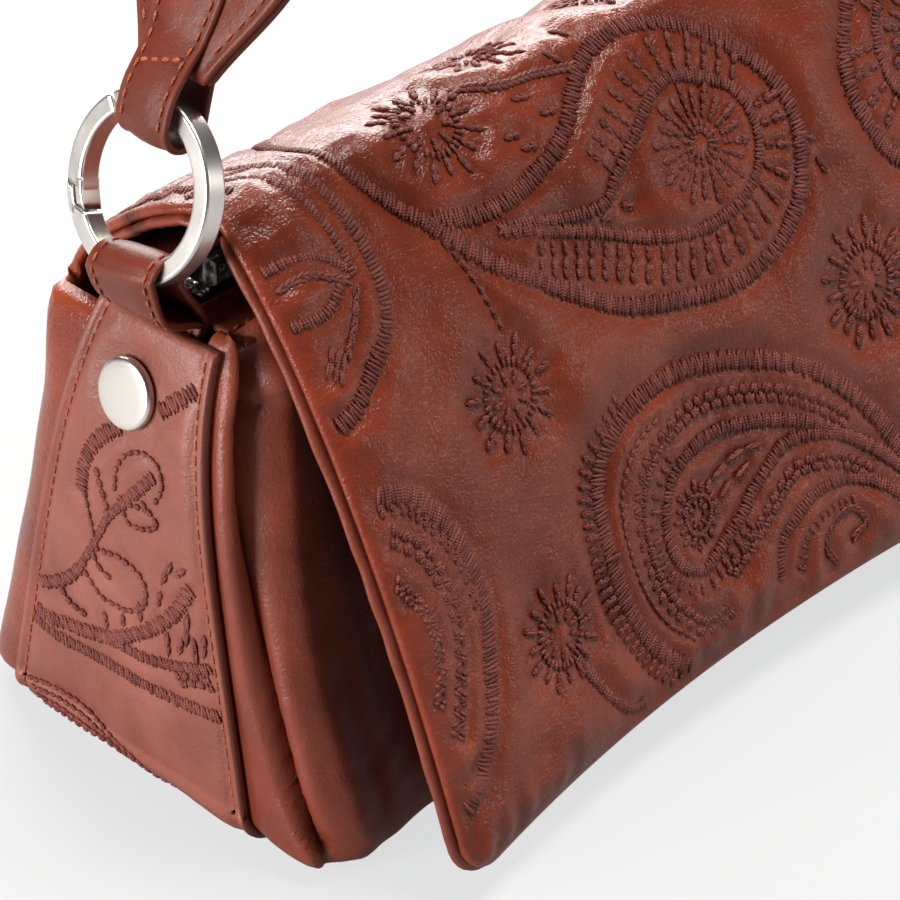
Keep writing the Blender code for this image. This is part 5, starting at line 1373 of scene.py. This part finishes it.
def strip_lift(u, v):
    """The strip's height, in millimetres, by distance from front to back and height on the bag."""
    z = np.clip(np.asarray(v) * MM, 0, None)
    inset = (strip_half(z) - np.abs(np.asarray(u) * MM - strip_middle(z))) / MM
    held = 0.35 * np.exp(-((inset - 2.7) / 0.6)**2)
    turned = 0.50 * ramp(-inset, -2.5, -1.7)
    puff = STRIP_PATTERN.depth(u, v, 0.85, 2.6) * ramp(inset, 2.6, 5.5)
    rivet = np.hypot(np.asarray(u) - RIVET_Y / MM, np.asarray(v) - RIVET_Z / MM)
    soft = waves(u, v, (26.0, 51, 0.35), (9.0, 52, 0.10))
    body = (puff + (0.35 + soft) * ramp(inset, 3, 8)) * ramp(rivet, 7, 13)
    return (body + turned - held) * ramp(np.asarray(v), -5.0, 5.0)


def make_strip():
    """The embroidered strip, its painted edges' stitching, and the pattern at both ends."""
    x, z, at, flat, nx, nz = strip_path().T
    share = edge_steps(2.0, 0.022, 2 / 64) - 1
    half, centre = strip_half(at), strip_middle(at)
    y = centre[:, None] + share[None] * half[:, None]
    outer = np.stack([x[:, None] + 0 * y, y, z[:, None] + 0 * y], axis=-1)
    out = np.stack([nx[:, None] + 0 * y, 0 * y, nz[:, None] + 0 * y], axis=-1)
    lift = strip_lift(y / MM, flat[:, None] / MM + 0 * y) * MM
    along = lengths(np.stack([x, z], axis=1))
    tip = np.minimum(along, along[-1] - along)
    edge = np.minimum((1 - np.abs(share))[None] * half[:, None], np.broadcast_to(tip[:, None], y.shape))
    middle = outer - out * STRIP_THICK / 2
    # The strip's paler leather carries a painted sheen
    sheet("strip_leather", middle, out, edge, STRIP_THICK, 0.55 * MM, lift * ramp(edge, 0, 0.4 * MM),
          SHEEN_PAINTED_LEATHER, "bag", ("gusset_strip",), paint=0.45 * MM)
    for end, sign in SIDES:
        place, normal = partial(strip_place, sign), partial(strip_normal, sign)
        lay(f"strip_embroidery_{end}", STRIP_PATTERN, place, normal, strip_lift, "bag", 61)
        for edge_name, way in (("front", -1), ("back", 1)):
            v = np.linspace(106.5, 2.0, 130)
            u = (strip_middle(v * MM) + way * (strip_half(v * MM) - 2.75 * MM)) / MM
            n = normal(u, v)
            line = place(u, v) + n * (strip_lift(u, v) * MM + 0.22 * MM)[:, None]
            sew(f"strip_seam_{end}_{edge_name}", line, n, 3.1 * MM, 2.1 * MM, "bag", 62, 0.72)


# Inside: the lining pouch and its pocket

POUCH_TOP, POUCH_FLOOR = 0.1025, FLOOR + 3.3 * MM
POUCH_INSET, POUCH_END_INSET, POUCH_THICK = 3.0 * MM, 6.5 * MM, 0.9 * MM
POUCH_POWER = 0.22
POCKET_TOP, POCKET_FOOT, POCKET_HALF, POCKET_THICK = 0.088, 0.032, 0.055, 0.9 * MM


def make_pouch():
    """The lining pouch."""
    top, floor, inset = POUCH_TOP, POUCH_FLOOR, POUCH_INSET
    levels = np.linspace(top, floor, 44)
    rings = []
    for z in levels:
        far = end_x(z) - POUCH_END_INSET
        front = -face_y(-1, z) - inset - FRONT_HOLLOW - 2.5 * MM
        back = face_y(1, z) - inset
        drop = 4 * MM * (1 - np.sqrt(np.clip(1 - (1 - np.clip((z - floor) / (8 * MM), 0, 1))**2, 0, 1)))
        turns = np.linspace(0, 2 * math.pi, 160, endpoint=False)
        c, s = np.cos(turns), np.sin(turns)
        x = (far - drop) * np.sign(c) * np.abs(c)**POUCH_POWER
        y = np.where(s < 0, front - drop, back - drop) * np.sign(s) * np.abs(s)**POUCH_POWER
        bulge = 0.72 * FRONT_BULGE * np.clip(1 - (x / END_HALF)**2, 0, None)**1.5
        y = y - np.where(s < 0, bulge * math.sin(math.pi * z / HEIGHT), 0)
        soft = ripple(x / MM, z / MM * 0.4, 22.0, 71) * 0.35 * MM
        y = y - np.sign(s) * np.abs(soft) * ramp(z, floor, floor + 10 * MM)
        rings.append(np.stack([x, y, np.full_like(x, z)], axis=1))
    outer = np.array(rings)
    centre = outer.mean(axis=1, keepdims=True)
    pull = unit((outer - centre) * [1 / 100, 1 / 25, 0])
    inner = outer - pull * POUCH_THICK
    inner[-1, :, 2] += POUCH_THICK
    rings = np.concatenate([outer[::-1], inner])
    points, faces = loft(rings)
    pouch = mesh_object("lining_cloth", points, faces, LINING, "bag", ("lining_pouch",))


def make_pocket():
    """The slip pocket on the pouch's back wall, with its hem's stitches."""
    rows = np.linspace(POCKET_TOP, POCKET_FOOT, 30)
    share = edge_steps(2.0, 0.012, 2 / 50) - 1
    z = rows[:, None] + 0 * share
    x = share * POCKET_HALF + 0 * z
    away = 4.0 * MM + 4.2 * MM * ramp(z, POCKET_FOOT, 75 * MM) * np.sqrt(np.clip(1 - share**2, 0, 1))
    y = face_y(1, z) - away
    middle = np.stack([x, y, z], axis=-1)
    out = np.broadcast_to([0.0, -1.0, 0.0], middle.shape)
    edge = np.minimum((1 - np.abs(share)) * POCKET_HALF, np.minimum(POCKET_TOP - z, z - POCKET_FOOT))
    soft = ripple(x / MM, z / MM * 0.5, 20.0, 72) * 0.2 * MM * ramp(edge, 0, 4 * MM)
    sheet("slip_pocket_cloth", middle, out, edge, POCKET_THICK, 0.5 * MM, soft, LINING, "bag",
          ("slip_pocket",))
    hem = np.stack([x[1], y[1] - 0.5 * MM, z[1] - 2.2 * MM], axis=-1)
    sew("slip_pocket_hem", hem, np.broadcast_to([0.0, -1.0, 0.0], hem.shape), 3.0 * MM, 2.1 * MM, "bag", 73,
        0.4)


# The zip


def level_sheet(name, x, y, z, edge, thick, radius, surface, body, replaced):
    """A sheet that lies level, or nearly so, at given heights."""
    middle = np.stack(np.broadcast_arrays(x, y, z), axis=-1)
    up = np.broadcast_to(UP, middle.shape)
    sheet(name, middle, up, edge, thick, radius, 0 * edge, surface, body, (replaced,))


def zip_seam(name, half, y, seed):
    """A straight seam along a facing."""
    line = np.array([(x, y, FACING_SEAM_Z) for x in np.linspace(-half, half, 120)])
    sew(name, line, np.broadcast_to(UP, line.shape), 3.1 * MM, 2.1 * MM, "bag", seed, 0.66)


def tooth(x, sign):
    """One tooth of the zip, from its tip by the middle out to its foot on the tape."""
    rings = []
    for reach, size in TOOTH_STEPS:
        ring = [(x + cx * TOOTH_HALF_X * size * 0.85, sign * reach * MM, TAPE_Z + cz * TOOTH_HALF_Z * size)
                for cx, cz in TOOTH_CORNERS]
        rings.append(ring if sign > 0 else ring[::-1])
    return loft(rings)


def make_zip():
    """Facings, tapes, teeth and end pieces."""
    share = (edge_steps(2.0, 0.012, 2 / 110) - 1)[:, None]
    for name, sign, low, high, seed in FACINGS:
        y = edge_steps(high - low, 0.8 * MM, 1.2 * MM) + low
        x, y = np.broadcast_arrays(share * FACING_HALF, y)
        inset = FACING_HALF - np.abs(x)
        soft = ripple(x / MM, y / MM, 22.0, seed) * 0.18 * MM * ramp(inset, 0, 6 * MM)
        z = ZIP_Z + FACING_THICK / 2 + soft
        level_sheet(f"zip_facing_{name}_leather", x, y, z, np.minimum(inset, np.minimum(y - low, high - y)),
                    FACING_THICK, 0.7 * MM, SMOOTH, "bag", f"zip_facing_{name}")
        if name == "front":
            zip_seam("zip_seam_outer", OUTER_SEAM_HALF, OUTER_SEAM_Y, 83)
        zip_seam(f"zip_seam_{name}", INNER_SEAM_HALF, (low if sign > 0 else high) + sign * 1.6 * MM, seed)
        across = edge_steps(TAPE_OUTER - TAPE_INNER, 0.3 * MM, 1.0 * MM) + TAPE_INNER
        x, y = np.broadcast_arrays(share * TAPE_HALF, sign * across)
        edge = np.minimum(TAPE_HALF - np.abs(x), np.minimum(across - TAPE_INNER, TAPE_OUTER - across))
        level_sheet(f"zip_tape_{name}_cloth", x, y, TAPE_Z, edge, TAPE_THICK, 0.3 * MM, TAPE,
                    "bag", f"zip_tape_{name}")
        points, faces = merged([tooth((k + 0.5 - TEETH / 2) * TOOTH_PITCH, sign) for k in range(TEETH)])
        mesh_object(f"zip_teeth_{name}_metal", points, faces, BRIGHT, "bag",
                    (f"zip_teeth_{name}",))
    for end, sign in SIDES:
        x = sign * (ZIP_END_X + edge_steps(FACING_HALF - ZIP_END_X, 0.6 * MM, 0.6 * MM))[:, None]
        y = edge_steps(2 * ZIP_END_HALF, 0.8 * MM, 0.9 * MM) - ZIP_END_HALF
        along = np.minimum(np.abs(x) - ZIP_END_X, FACING_HALF - np.abs(x))
        edge = np.clip(np.minimum(along, ZIP_END_HALF - np.abs(y)), 0, None)
        level_sheet(f"zip_end_{end}_leather", x, y, ZIP_Z + FACING_THICK / 2, edge, FACING_THICK, 0.6 * MM,
                    SMOOTH, "bag", f"zip_end_piece_{end}")


def make_zip_pull():
    """The puller's leather, in the box of its solid."""
    low, high = (np.array(corner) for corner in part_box("zip_pull_leather"))
    x = (edge_steps(high[0] - low[0], 0.9 * MM, 0.7 * MM) + low[0])[:, None]
    y = edge_steps(high[1] - low[1], 0.9 * MM, 0.7 * MM) + low[1]
    edge = np.minimum(np.minimum(x - low[0], high[0] - x), np.minimum(y - low[1], high[1] - y))
    level_sheet("zip_pull_tab_leather", x, y, (low[2] + high[2]) / 2, np.clip(edge, 0, None),
                high[2] - low[2], 1.0 * MM, SMOOTH, "zip_pull", "zip_pull_leather")


# Rings, gates, tabs and rivets


def ring_axes(sign):
    """A ring's outward normal and its upward direction."""
    normal = np.array([sign * math.cos(RING_LEAN), 0, math.sin(RING_LEAN)])
    upward = np.array([-sign * math.sin(RING_LEAN), 0, math.cos(RING_LEAN)])
    return normal, upward


CORNER_STEPS, CORNER_RIM = 5, 0.12 * MM


def rounded_section(half_w, half_h, radius):
    """The outline of a bar with flat sides and rounded corners, as widths and heights."""
    steps, rim = CORNER_STEPS, CORNER_RIM
    found = []
    for quarter in range(4):
        cx = (half_w - radius) * (1 if quarter in (0, 3) else -1)
        cy = (half_h - radius) * (1 if quarter in (0, 1) else -1)
        arc = [math.pi / 2 * (quarter + k / steps) for k in range(steps + 1)]
        corner = [(cx + radius * math.cos(a), cy + radius * math.sin(a)) for a in arc]
        before, after = arc[0] - math.pi / 2, arc[-1] + math.pi / 2
        lead = (corner[0][0] + rim * math.cos(before), corner[0][1] + rim * math.sin(before))
        trail = (corner[-1][0] + rim * math.cos(after), corner[-1][1] + rim * math.sin(after))
        found += [lead, *corner, trail]
    return np.array(found)


def ring_centre(sign):
    """The middle of a ring."""
    return np.array([sign * RING_X, RING_Y, RING_Z])


def ring_arc(sign, start, end, radius, radial, axial, slants=(0.0, 0.0)):
    """A length of ring with flat faces and rounded edges, its ends slightly chamfered."""
    normal, upward = ring_axes(sign)
    centre = ring_centre(sign)
    steps = max(4, int(round((end - start) / math.radians(3))))
    trim = math.radians(0.8)
    angles = np.linspace(start + trim, end - trim, steps + 1)
    sizes = np.array([RING_CHAMFER, *[1.0] * (steps + 1), RING_CHAMFER])
    angles = np.concatenate([[start], angles, [end]])
    out, rise = rounded_section(radial, axial, min(radial, axial) * 0.34).T
    fade = np.linspace(0, 1, len(angles))
    rings = []
    for angle, size, f in zip(angles, sizes, fade):
        near = slants[0] * max(0, 1 - f * 6) + slants[1] * max(0, 1 - (1 - f) * 6)
        a = angle + near * (radius + out - RING_RADIUS) / RING_RADIUS
        spoke = np.cos(a)[:, None] * np.array([0, 1.0, 0]) + np.sin(a)[:, None] * upward
        rings.append(centre + spoke * (radius + out * size)[:, None] + normal * (rise * size)[:, None])
    return loft(rings)


LAP_OVERLAP = 0.10
SHOULDER_COVER = math.radians(2.1)
TONGUE_START, TONGUE_END = GATE_SHOULDER - 0.03, math.radians(60)
TONGUE_RADIAL, TONGUE_AXIAL = 1.35 * MM, 0.7 * MM


def make_rings():
    """Rings and gates with the stepped lap that the gate closes on."""
    bar = RING_RADIUS, RING_RADIAL, RING_AXIAL
    half = RING_RADIAL / 2
    lap = half - CLEAR / 2
    outside, inside = RING_RADIUS + half + CLEAR / 2, RING_RADIUS - half - CLEAR / 2
    nose, lip = 2 * math.pi + GATE_NOSE - LAP_GAP, 2 * math.pi + GATE_LAP - LAP_GAP
    for end, sign in SIDES:
        ring = [ring_arc(sign, FORK_END, nose, *bar, (0.0, LAP_SLANT)),
                ring_arc(sign, nose - LAP_OVERLAP, lip, outside, lap, RING_AXIAL, (0.0, LAP_SLANT))]
        gate = [ring_arc(sign, GATE_LAP, GATE_SHOULDER + SHOULDER_COVER, *bar, (LAP_SLANT, 0.0)),
                ring_arc(sign, GATE_NOSE, GATE_LAP + LAP_OVERLAP, inside, lap, RING_AXIAL, (LAP_SLANT, 0.0)),
                ring_arc(sign, TONGUE_START, TONGUE_END, RING_RADIUS, TONGUE_RADIAL, TONGUE_AXIAL)]
        for name, parts in ((f"ring_{end}", ring), (f"gate_{end}", gate)):
            points, faces = merged(parts)
            mesh_object(f"{name}_metal", points, faces, NICKEL, name, (name,))


def ribbon(name, line, outward, width_axis, half, thick, radius, lift, surface, body, replaced=(),
           step=1.2 * MM, skew=0.0):
    """A leather strip along a line: straight across its width, its edges rounded and pressed in where
    stitches run.
    """
    share = edge_steps(2.0, radius / np.min(half), step / np.max(half)) - 1
    half = np.broadcast_to(half, len(line))
    across = share[None, :, None] * half[:, None, None] * np.asarray(width_axis)
    shift = share[None, :, None] * np.reshape(skew, (-1, 1, 3 if np.ndim(skew) else 1))
    middle = line[:, None] + across + shift
    out = np.broadcast_to(outward[:, None], middle.shape)
    at = lengths(line)
    tip = np.minimum(at, at[-1] - at)
    inset = (1 - np.abs(share))[None] * half[:, None]
    edge = np.minimum(inset, np.broadcast_to(tip[:, None], inset.shape))
    pressed = -0.28 * MM * np.exp(-((inset - 1.9 * MM) / (0.7 * MM))**2)
    crown = lift * ramp(inset, 2.4 * MM, 6 * MM)
    return sheet(name, middle, out, edge, thick, radius, (pressed + crown) * ramp(edge, 0, 1.0 * MM),
                 surface, body, replaced)


def path_normals(line, sign=1):
    """Directions square to a line in the XZ plane."""
    t = unit(np.gradient(line, axis=0))
    return sign * np.stack([t[:, 2], np.zeros(len(t)), -t[:, 0]], axis=1)


def sideways(y):
    """Shifts along the Y axis."""
    return np.stack([0 * y, y, 0 * y], axis=1)


def make_tabs():
    """The leather loops that hold the rings, folded double and stitched."""
    for end, sign in SIDES:
        normal, upward = ring_axes(sign)
        low = np.array([sign * RING_X, 0, RING_Z]) - upward * RING_RADIUS
        round_it = 4.0 * MM
        slack = 1.3 * MM
        thick = TAB_THICK
        z = np.linspace(TAB_FOOT, TAB_HEAD, 8)
        outer = [np.array([sign * (end_x(h) - CLEAR - thick / 2), 0, h]) for h in z]
        inner = [p - [sign * (thick + 0.1 * MM), 0, 0] for p in outer]
        loop = [low + normal * round_it]
        for a in np.linspace(0, 180, 15):
            turn = math.radians(a)
            spoke = normal * math.cos(turn) + upward * math.sin(turn)
            loop.append(low + upward * slack + spoke * round_it)
        loop.append(low - normal * round_it)
        shoulder, throat = (np.array([sign * x, 0, z]) for x, z in (TAB_SHOULDER, TAB_THROAT))
        path = curve([*outer, outer[-1] + [sign * 0.9 * MM, 0, 1.6 * MM], shoulder, *loop, throat,
                      *inner[::-1]], 0.7 * MM)
        path = path + [0, TAB_Y, 0]
        out = path_normals(path, sign)
        at = lengths(path)
        half = mix(TAB_NECK_HALF, TAB_HALF, ramp(np.minimum(at, at[-1] - at), 22 * MM, 34 * MM))
        near = at / at[-1]
        slant = -upward * (ramp(near, 0.34, 0.46) * ramp(-near, -0.68, -0.56))[:, None] * 1.4 * MM
        ribbon(f"tab_{end}_leather", path, out, (0, 1.0, 0), half, thick, 0.5 * MM, 0.25 * MM, EDGE,
               "bag", (f"ring_tab_{end}",), skew=slant)
        keep = slice(6, -30)
        for way in (-1, 1):
            y = way * (half[keep] - 2.0 * MM)
            line = path[keep] + out[keep] * (thick / 2 + 0.05 * MM) + sideways(y)
            line = line + slant[keep] * way * (1 - 2.0 * MM / TAB_HALF)
            sew(f"tab_seam_{end}_{'front' if way < 0 else 'back'}", line, out[keep], 3.0 * MM, 2.1 * MM,
                "bag", 91, 0.68)


LATHE_SIDES = 64


def lathe(place, axis, profile):
    """A turned body: radii and heights along an axis through a place."""
    axis = unit(np.asarray(axis, float))
    first = unit(np.cross(axis, [0, 1.0, 0]))
    second = np.cross(axis, first)
    turns = 2 * math.pi * np.arange(LATHE_SIDES) / LATHE_SIDES
    spokes = np.cos(turns)[:, None] * first + np.sin(turns)[:, None] * second
    return loft([place + spokes * r + axis * h for r, h in profile])


def make_rivets():
    """Rivet caps with a softly domed face."""
    slope = END_LEAN * END_POWER / HEIGHT * (RIVET_Z / HEIGHT)**(END_POWER - 1)
    for end, sign in SIDES:
        place = np.array([sign * (end_x(RIVET_Z) + STRIP_OUT), RIVET_Y, RIVET_Z])
        r, t = RIVET_RADIUS, RIVET_RISE
        profile = [(1.8 * MM, -5.0 * MM), (1.8 * MM, 0.3 * MM), (r * 0.97, 0.3 * MM), (r, 0.55 * MM),
                   (r, t * 0.62), (r * 0.985, t * 0.78), (r * 0.955, t * 0.90), (r * 0.91, t * 0.97),
                   (r * 0.85, t), (r * 0.6, t * 1.02), (r * 0.3, t * 1.03), (r * 0.05, t * 1.03)]
        points, faces = lathe(place, (sign, 0, slope), profile)
        mesh_object(f"rivet_{end}_metal", points, faces, NICKEL, "bag", (f"rivet_{end}",))


# The strap


def strap_at(sign, distance):
    """The strap's middle line and outward direction, by distance from a ring."""
    _, upward = ring_axes(sign)
    start = ring_centre(sign) + upward * RING_RADIUS
    straight = abs(start[0]) / math.sin(STRAP_LEAN) - STRAP_APEX / math.tan(STRAP_LEAN)
    rise = np.array([-sign * math.sin(STRAP_LEAN), 0, math.cos(STRAP_LEAN)])
    turn = STRAP_LEAN + max(0.0, distance - straight) / STRAP_APEX
    outward = np.array([sign * math.cos(turn), 0, math.sin(turn)])
    place = start + rise * min(distance, straight)
    if distance > straight:
        first = np.array([sign * math.cos(STRAP_LEAN), 0, math.sin(STRAP_LEAN)])
        place = place + (outward - first) * STRAP_APEX
    leg = straight + STRAP_APEX * (math.pi / 2 - STRAP_LEAN)
    return place, outward, leg


def strap_half(distance):
    """Half the strap's width at a distance from a ring."""
    return mix(STRAP_NECK_HALF, STRAP_WIDE_HALF, ramp(distance, *STRAP_WIDENS))


def make_strap():
    """The strap's two layers, stitched together."""
    leg = strap_at(1, 0.0)[2]
    places = np.linspace(STRAP_START, leg, 150)
    path = [(-1, d) for d in places] + [(1, d) for d in places[-2::-1]]
    line = np.array([strap_at(s, d)[0] for s, d in path])
    out = np.array([strap_at(s, d)[1] for s, d in path])
    half = strap_half(np.array([d for _, d in path]))
    for name, way in (("outer", 1), ("inner", -1)):
        offset = way * (STRAP_LAYER / 2 + 0.05 * MM)
        ribbon(f"strap_{name}_leather", line + out * offset, out * way, (0, 1.0, 0), half, STRAP_LAYER,
               0.8 * MM, 0.3 * MM, EDGE, "strap",
               (f"strap_{name}",), 1.6 * MM)
        for side in (-1, 1):
            keep = slice(4, -4)
            y = side * (half[keep] - 2.6 * MM)
            seam = line[keep] + out[keep] * way * (STRAP_LAYER + 0.08 * MM) + sideways(y)
            sew(f"strap_seam_{name}_{'front' if side < 0 else 'back'}", seam, out[keep] * way, 3.4 * MM,
                2.3 * MM, "strap", 95, 0.68)


def make_strap_ends():
    """The strap's ends, which fold back round the rings."""
    for end, sign in SIDES:
        normal, upward = ring_axes(sign)
        top = ring_centre(sign) + upward * RING_RADIUS
        thick = FOLD_THICK
        near = STRAP_LAYER + 0.15 * MM + thick / 2
        rise = [strap_at(sign, d) for d in np.linspace(FOLD_RISE, 12.5 * MM, 15)]
        outer = [p + o * near for p, o, _ in rise]
        loop = [top + upward * 3.0 * MM + normal * 4.6 * MM]
        slack = upward * 2.6 * MM
        for a in np.linspace(0, -180, 18):
            turn = math.radians(a)
            loop.append(top - slack + (normal * math.cos(turn) + upward * math.sin(turn)) * 4.95 * MM)
        loop.append(top + upward * 3.0 * MM - normal * 4.6 * MM)
        back = [strap_at(sign, d) for d in np.linspace(11 * MM, 25 * MM, 5)]
        inner = [p - o * near for p, o, _ in back]
        path = curve([*outer, *loop, *inner], 0.8 * MM)
        outdir = path_normals(path, -sign)
        at = lengths(path)
        half = mix(FOLD_LOOP_HALF, FOLD_END_HALF, ramp(-at, -FOLD_RISE + 6 * MM, -FOLD_RISE + 22 * MM))
        ribbon(f"strap_fold_{end}_leather", path, outdir, (0, 1.0, 0), half, thick, 0.6 * MM, 0.3 * MM,
               EDGE, "strap", (f"strap_fold_{end}",))
        keep = (at > 2 * MM) & (at < FOLD_RISE + 6 * MM)
        for side in (-1, 1):
            y = side * (half[keep] - 1.9 * MM)
            seam = path[keep] + outdir[keep] * (thick / 2 + 0.05 * MM) + sideways(y)
            sew(f"fold_seam_{end}_{'front' if side < 0 else 'back'}", seam, outdir[keep], 3.0 * MM,
                2.1 * MM, "strap", 96, 0.68)
        rise = unit(strap_at(sign, 30 * MM)[0] - strap_at(sign, 20 * MM)[0])
        k = int(np.argmin(np.abs(at - FOLD_RISE + 7.5 * MM)))
        y = np.linspace(-half[k] + 1.9 * MM, half[k] - 1.9 * MM, 12)
        seam = path[k] + outdir[k] * (thick / 2 + 0.15 * MM) + sideways(y)
        seam = seam - rise * (y * CROSS_SLANT)[:, None]
        sew(f"fold_cross_{end}", seam, np.broadcast_to(outdir[k], seam.shape), 2.6 * MM, 2.1 * MM, "strap",
            97, 0.95)


# The studio

FLOOR_REACH = 3.0
FLOOR_GLOW, FLOOR_CAMERA_SHARE, FLOOR_MIRROR_SHARE = 1.10, 0.66, 0.14
WORLD_LIGHT, WORLD_WHITE = 0.12, 0.94


def make_floor():
    """A pale floor that keeps the shadow, with a little light of its own for the camera."""
    mesh = bpy.data.meshes.new("floor")
    corners = [(x * FLOOR_REACH, y * FLOOR_REACH, 0) for x, y in ((-1, -1), (1, -1), (1, 1), (-1, 1))]
    mesh.from_pydata(corners, [], [(0, 1, 2, 3)])
    floor = bpy.data.objects.new("floor", mesh)
    bpy.context.scene.collection.objects.link(floor)
    made, tree, shader = material("floor_white")
    place = node(tree, "ShaderNodeTexCoord").outputs["Object"]
    soft = noise(tree, place, 3.0, 2.0)
    tone = ramp_node(tree, soft.outputs["Fac"], ((0.3, (0.32, 0.32, 0.32)), (0.7, (0.34, 0.34, 0.34))))
    tree.links.new(tone.outputs["Color"], shader.inputs["Base Color"])
    shader.inputs["Roughness"].default_value = 0.9
    shader.inputs["Specular IOR Level"].default_value = 0.1
    rays = node(tree, "ShaderNodeLightPath")
    mirrored = node(tree, "ShaderNodeMath", operation="MULTIPLY")
    mirrored.inputs[1].default_value = FLOOR_MIRROR_SHARE
    tree.links.new(rays.outputs["Is Glossy Ray"], mirrored.inputs[0])
    share = node(tree, "ShaderNodeMath", operation="MULTIPLY_ADD")
    share.inputs[1].default_value = FLOOR_CAMERA_SHARE
    tree.links.new(rays.outputs["Is Camera Ray"], share.inputs[0])
    tree.links.new(mirrored.outputs[0], share.inputs[2])
    pale = node(tree, "ShaderNodeEmission", {"Color": (0.955, 0.96, 0.965, 1), "Strength": FLOOR_GLOW})
    both = node(tree, "ShaderNodeMixShader")
    tree.links.new(share.outputs[0], both.inputs["Fac"])
    tree.links.new(shader.outputs[0], both.inputs[1])
    tree.links.new(pale.outputs[0], both.inputs[2])
    tree.links.new(both.outputs[0], tree.nodes["Material Output"].inputs["Surface"])
    mesh.materials.append(made)


def make_world():
    """The surround: white to the camera, dim to reflections and as light."""
    world = bpy.data.worlds.new("studio")
    bpy.context.scene.world = world
    world.use_nodes = True
    tree = world.node_tree
    tree.nodes.clear()
    rays = node(tree, "ShaderNodeLightPath")
    seen = node(tree, "ShaderNodeMath", operation="MAXIMUM")
    tree.links.new(rays.outputs["Is Camera Ray"], seen.inputs[0])
    tree.links.new(rays.outputs["Is Transmission Ray"], seen.inputs[1])
    lit = node(tree, "ShaderNodeBackground", {"Color": (0.96, 0.97, 1.0, 1), "Strength": WORLD_LIGHT})
    white = node(tree, "ShaderNodeBackground", {"Color": (1, 1, 1, 1), "Strength": WORLD_WHITE})
    sweep = node(tree, "ShaderNodeBackground", {"Strength": 1.0})
    split = node(tree, "ShaderNodeSeparateXYZ")
    tree.links.new(node(tree, "ShaderNodeTexCoord").outputs["Generated"], split.inputs[0])
    walls = ramp_node(tree, split.outputs["Z"], ((0.00, (0.40, 0.40, 0.40)), (0.10, (0.11, 0.11, 0.11)),
                                                 (0.30, (0.05, 0.05, 0.05))))
    tree.links.new(walls.outputs["Color"], sweep.inputs["Color"])
    mirrored = node(tree, "ShaderNodeMixShader")
    tree.links.new(rays.outputs["Is Glossy Ray"], mirrored.inputs["Fac"])
    tree.links.new(lit.outputs[0], mirrored.inputs[1])
    tree.links.new(sweep.outputs[0], mirrored.inputs[2])
    both = node(tree, "ShaderNodeMixShader")
    tree.links.new(seen.outputs[0], both.inputs["Fac"])
    tree.links.new(mirrored.outputs[0], both.inputs[1])
    tree.links.new(white.outputs[0], both.inputs[2])
    output = node(tree, "ShaderNodeOutputWorld")
    tree.links.new(both.outputs[0], output.inputs["Surface"])


def area_light(name, place, target, size, power, colour):
    """A soft box."""
    data = bpy.data.lights.new(name, "AREA")
    data.shape = "RECTANGLE"
    data.size, data.size_y = size
    data.energy = power
    data.color = colour
    obj = bpy.data.objects.new(name, data)
    obj.location = place
    obj.rotation_euler = (Vector(target) - Vector(place)).to_track_quat("-Z", "Y").to_euler()
    bpy.context.scene.collection.objects.link(obj)


def make_lights():
    """A big soft key behind, a small box overhead, one at the left end and a weak card in front."""
    middle = (0, 0, 0.08)
    area_light("back_wall", (0.78, 0.92, 0.66), middle, (1.5, 0.85), 45.0, (1.0, 0.985, 0.965))
    area_light("top", (0.20, -0.05, 1.20), middle, (0.5, 0.5), 22.0, (1.0, 0.985, 0.965))
    area_light("end_box", (-1.00, 0.16, 0.32), (-0.12, 0, 0.08), (0.4, 0.5), 13.5, (1.0, 0.98, 0.96))
    area_light("front_card", (0.85, -1.10, 0.38), middle, (0.38, 0.38), 2.4, (1.0, 0.97, 0.94))


CAMERA_AZIMUTH, CAMERA_ELEVATION = math.radians(-45.43), math.radians(34.04)
CAMERA_TARGET = Vector((-0.06423, -0.02552, 0.05907))
CAMERA_DISTANCE = 0.7955
CAMERA_LENS, CAMERA_SENSOR = 154.65, 36.0


def make_camera():
    """The camera at the photograph's angle."""
    data = bpy.data.cameras.new("camera")
    data.lens = CAMERA_LENS
    data.sensor_width = CAMERA_SENSOR
    camera = bpy.data.objects.new("camera", data)
    back = Vector((math.sin(CAMERA_AZIMUTH) * math.cos(CAMERA_ELEVATION),
                   -math.cos(CAMERA_AZIMUTH) * math.cos(CAMERA_ELEVATION), math.sin(CAMERA_ELEVATION)))
    camera.location = CAMERA_TARGET + back * CAMERA_DISTANCE
    camera.rotation_euler = (-back).to_track_quat("-Z", "Y").to_euler()
    bpy.context.scene.collection.objects.link(camera)
    bpy.context.scene.camera = camera


def dress_cad():
    """Gives the CAD nodes that stay their materials."""
    slots = {part["node"]: part["material_slot"] for part in frame["record"]["subparts"]}
    for name, obj in frame["nodes"].items():
        surface = CAD_SURFACES.get(slots.get(name))
        if surface:
            obj.data.materials.clear()
            obj.data.materials.append(surface)


def main():
    """Builds the whole scene."""
    bpy.context.scene.view_settings.view_transform = "Standard"
    make_camera()
    dress_cad()
    make_wrap()
    lay("flap_embroidery", FLAP_PATTERN, layout_point, layout_normal, flap_lift, WRAP_BODY, 11)
    lay("back_embroidery", BACK_PATTERN, back_point, back_normal, back_lift, "bag", 12)
    make_flap_parts()
    make_crown_parts()
    make_front()
    make_strip()
    make_pouch()
    make_pocket()
    make_zip()
    make_zip_pull()
    make_rings()
    make_tabs()
    make_rivets()
    make_strap()
    make_strap_ends()
    make_floor()
    make_world()
    make_lights()


main()
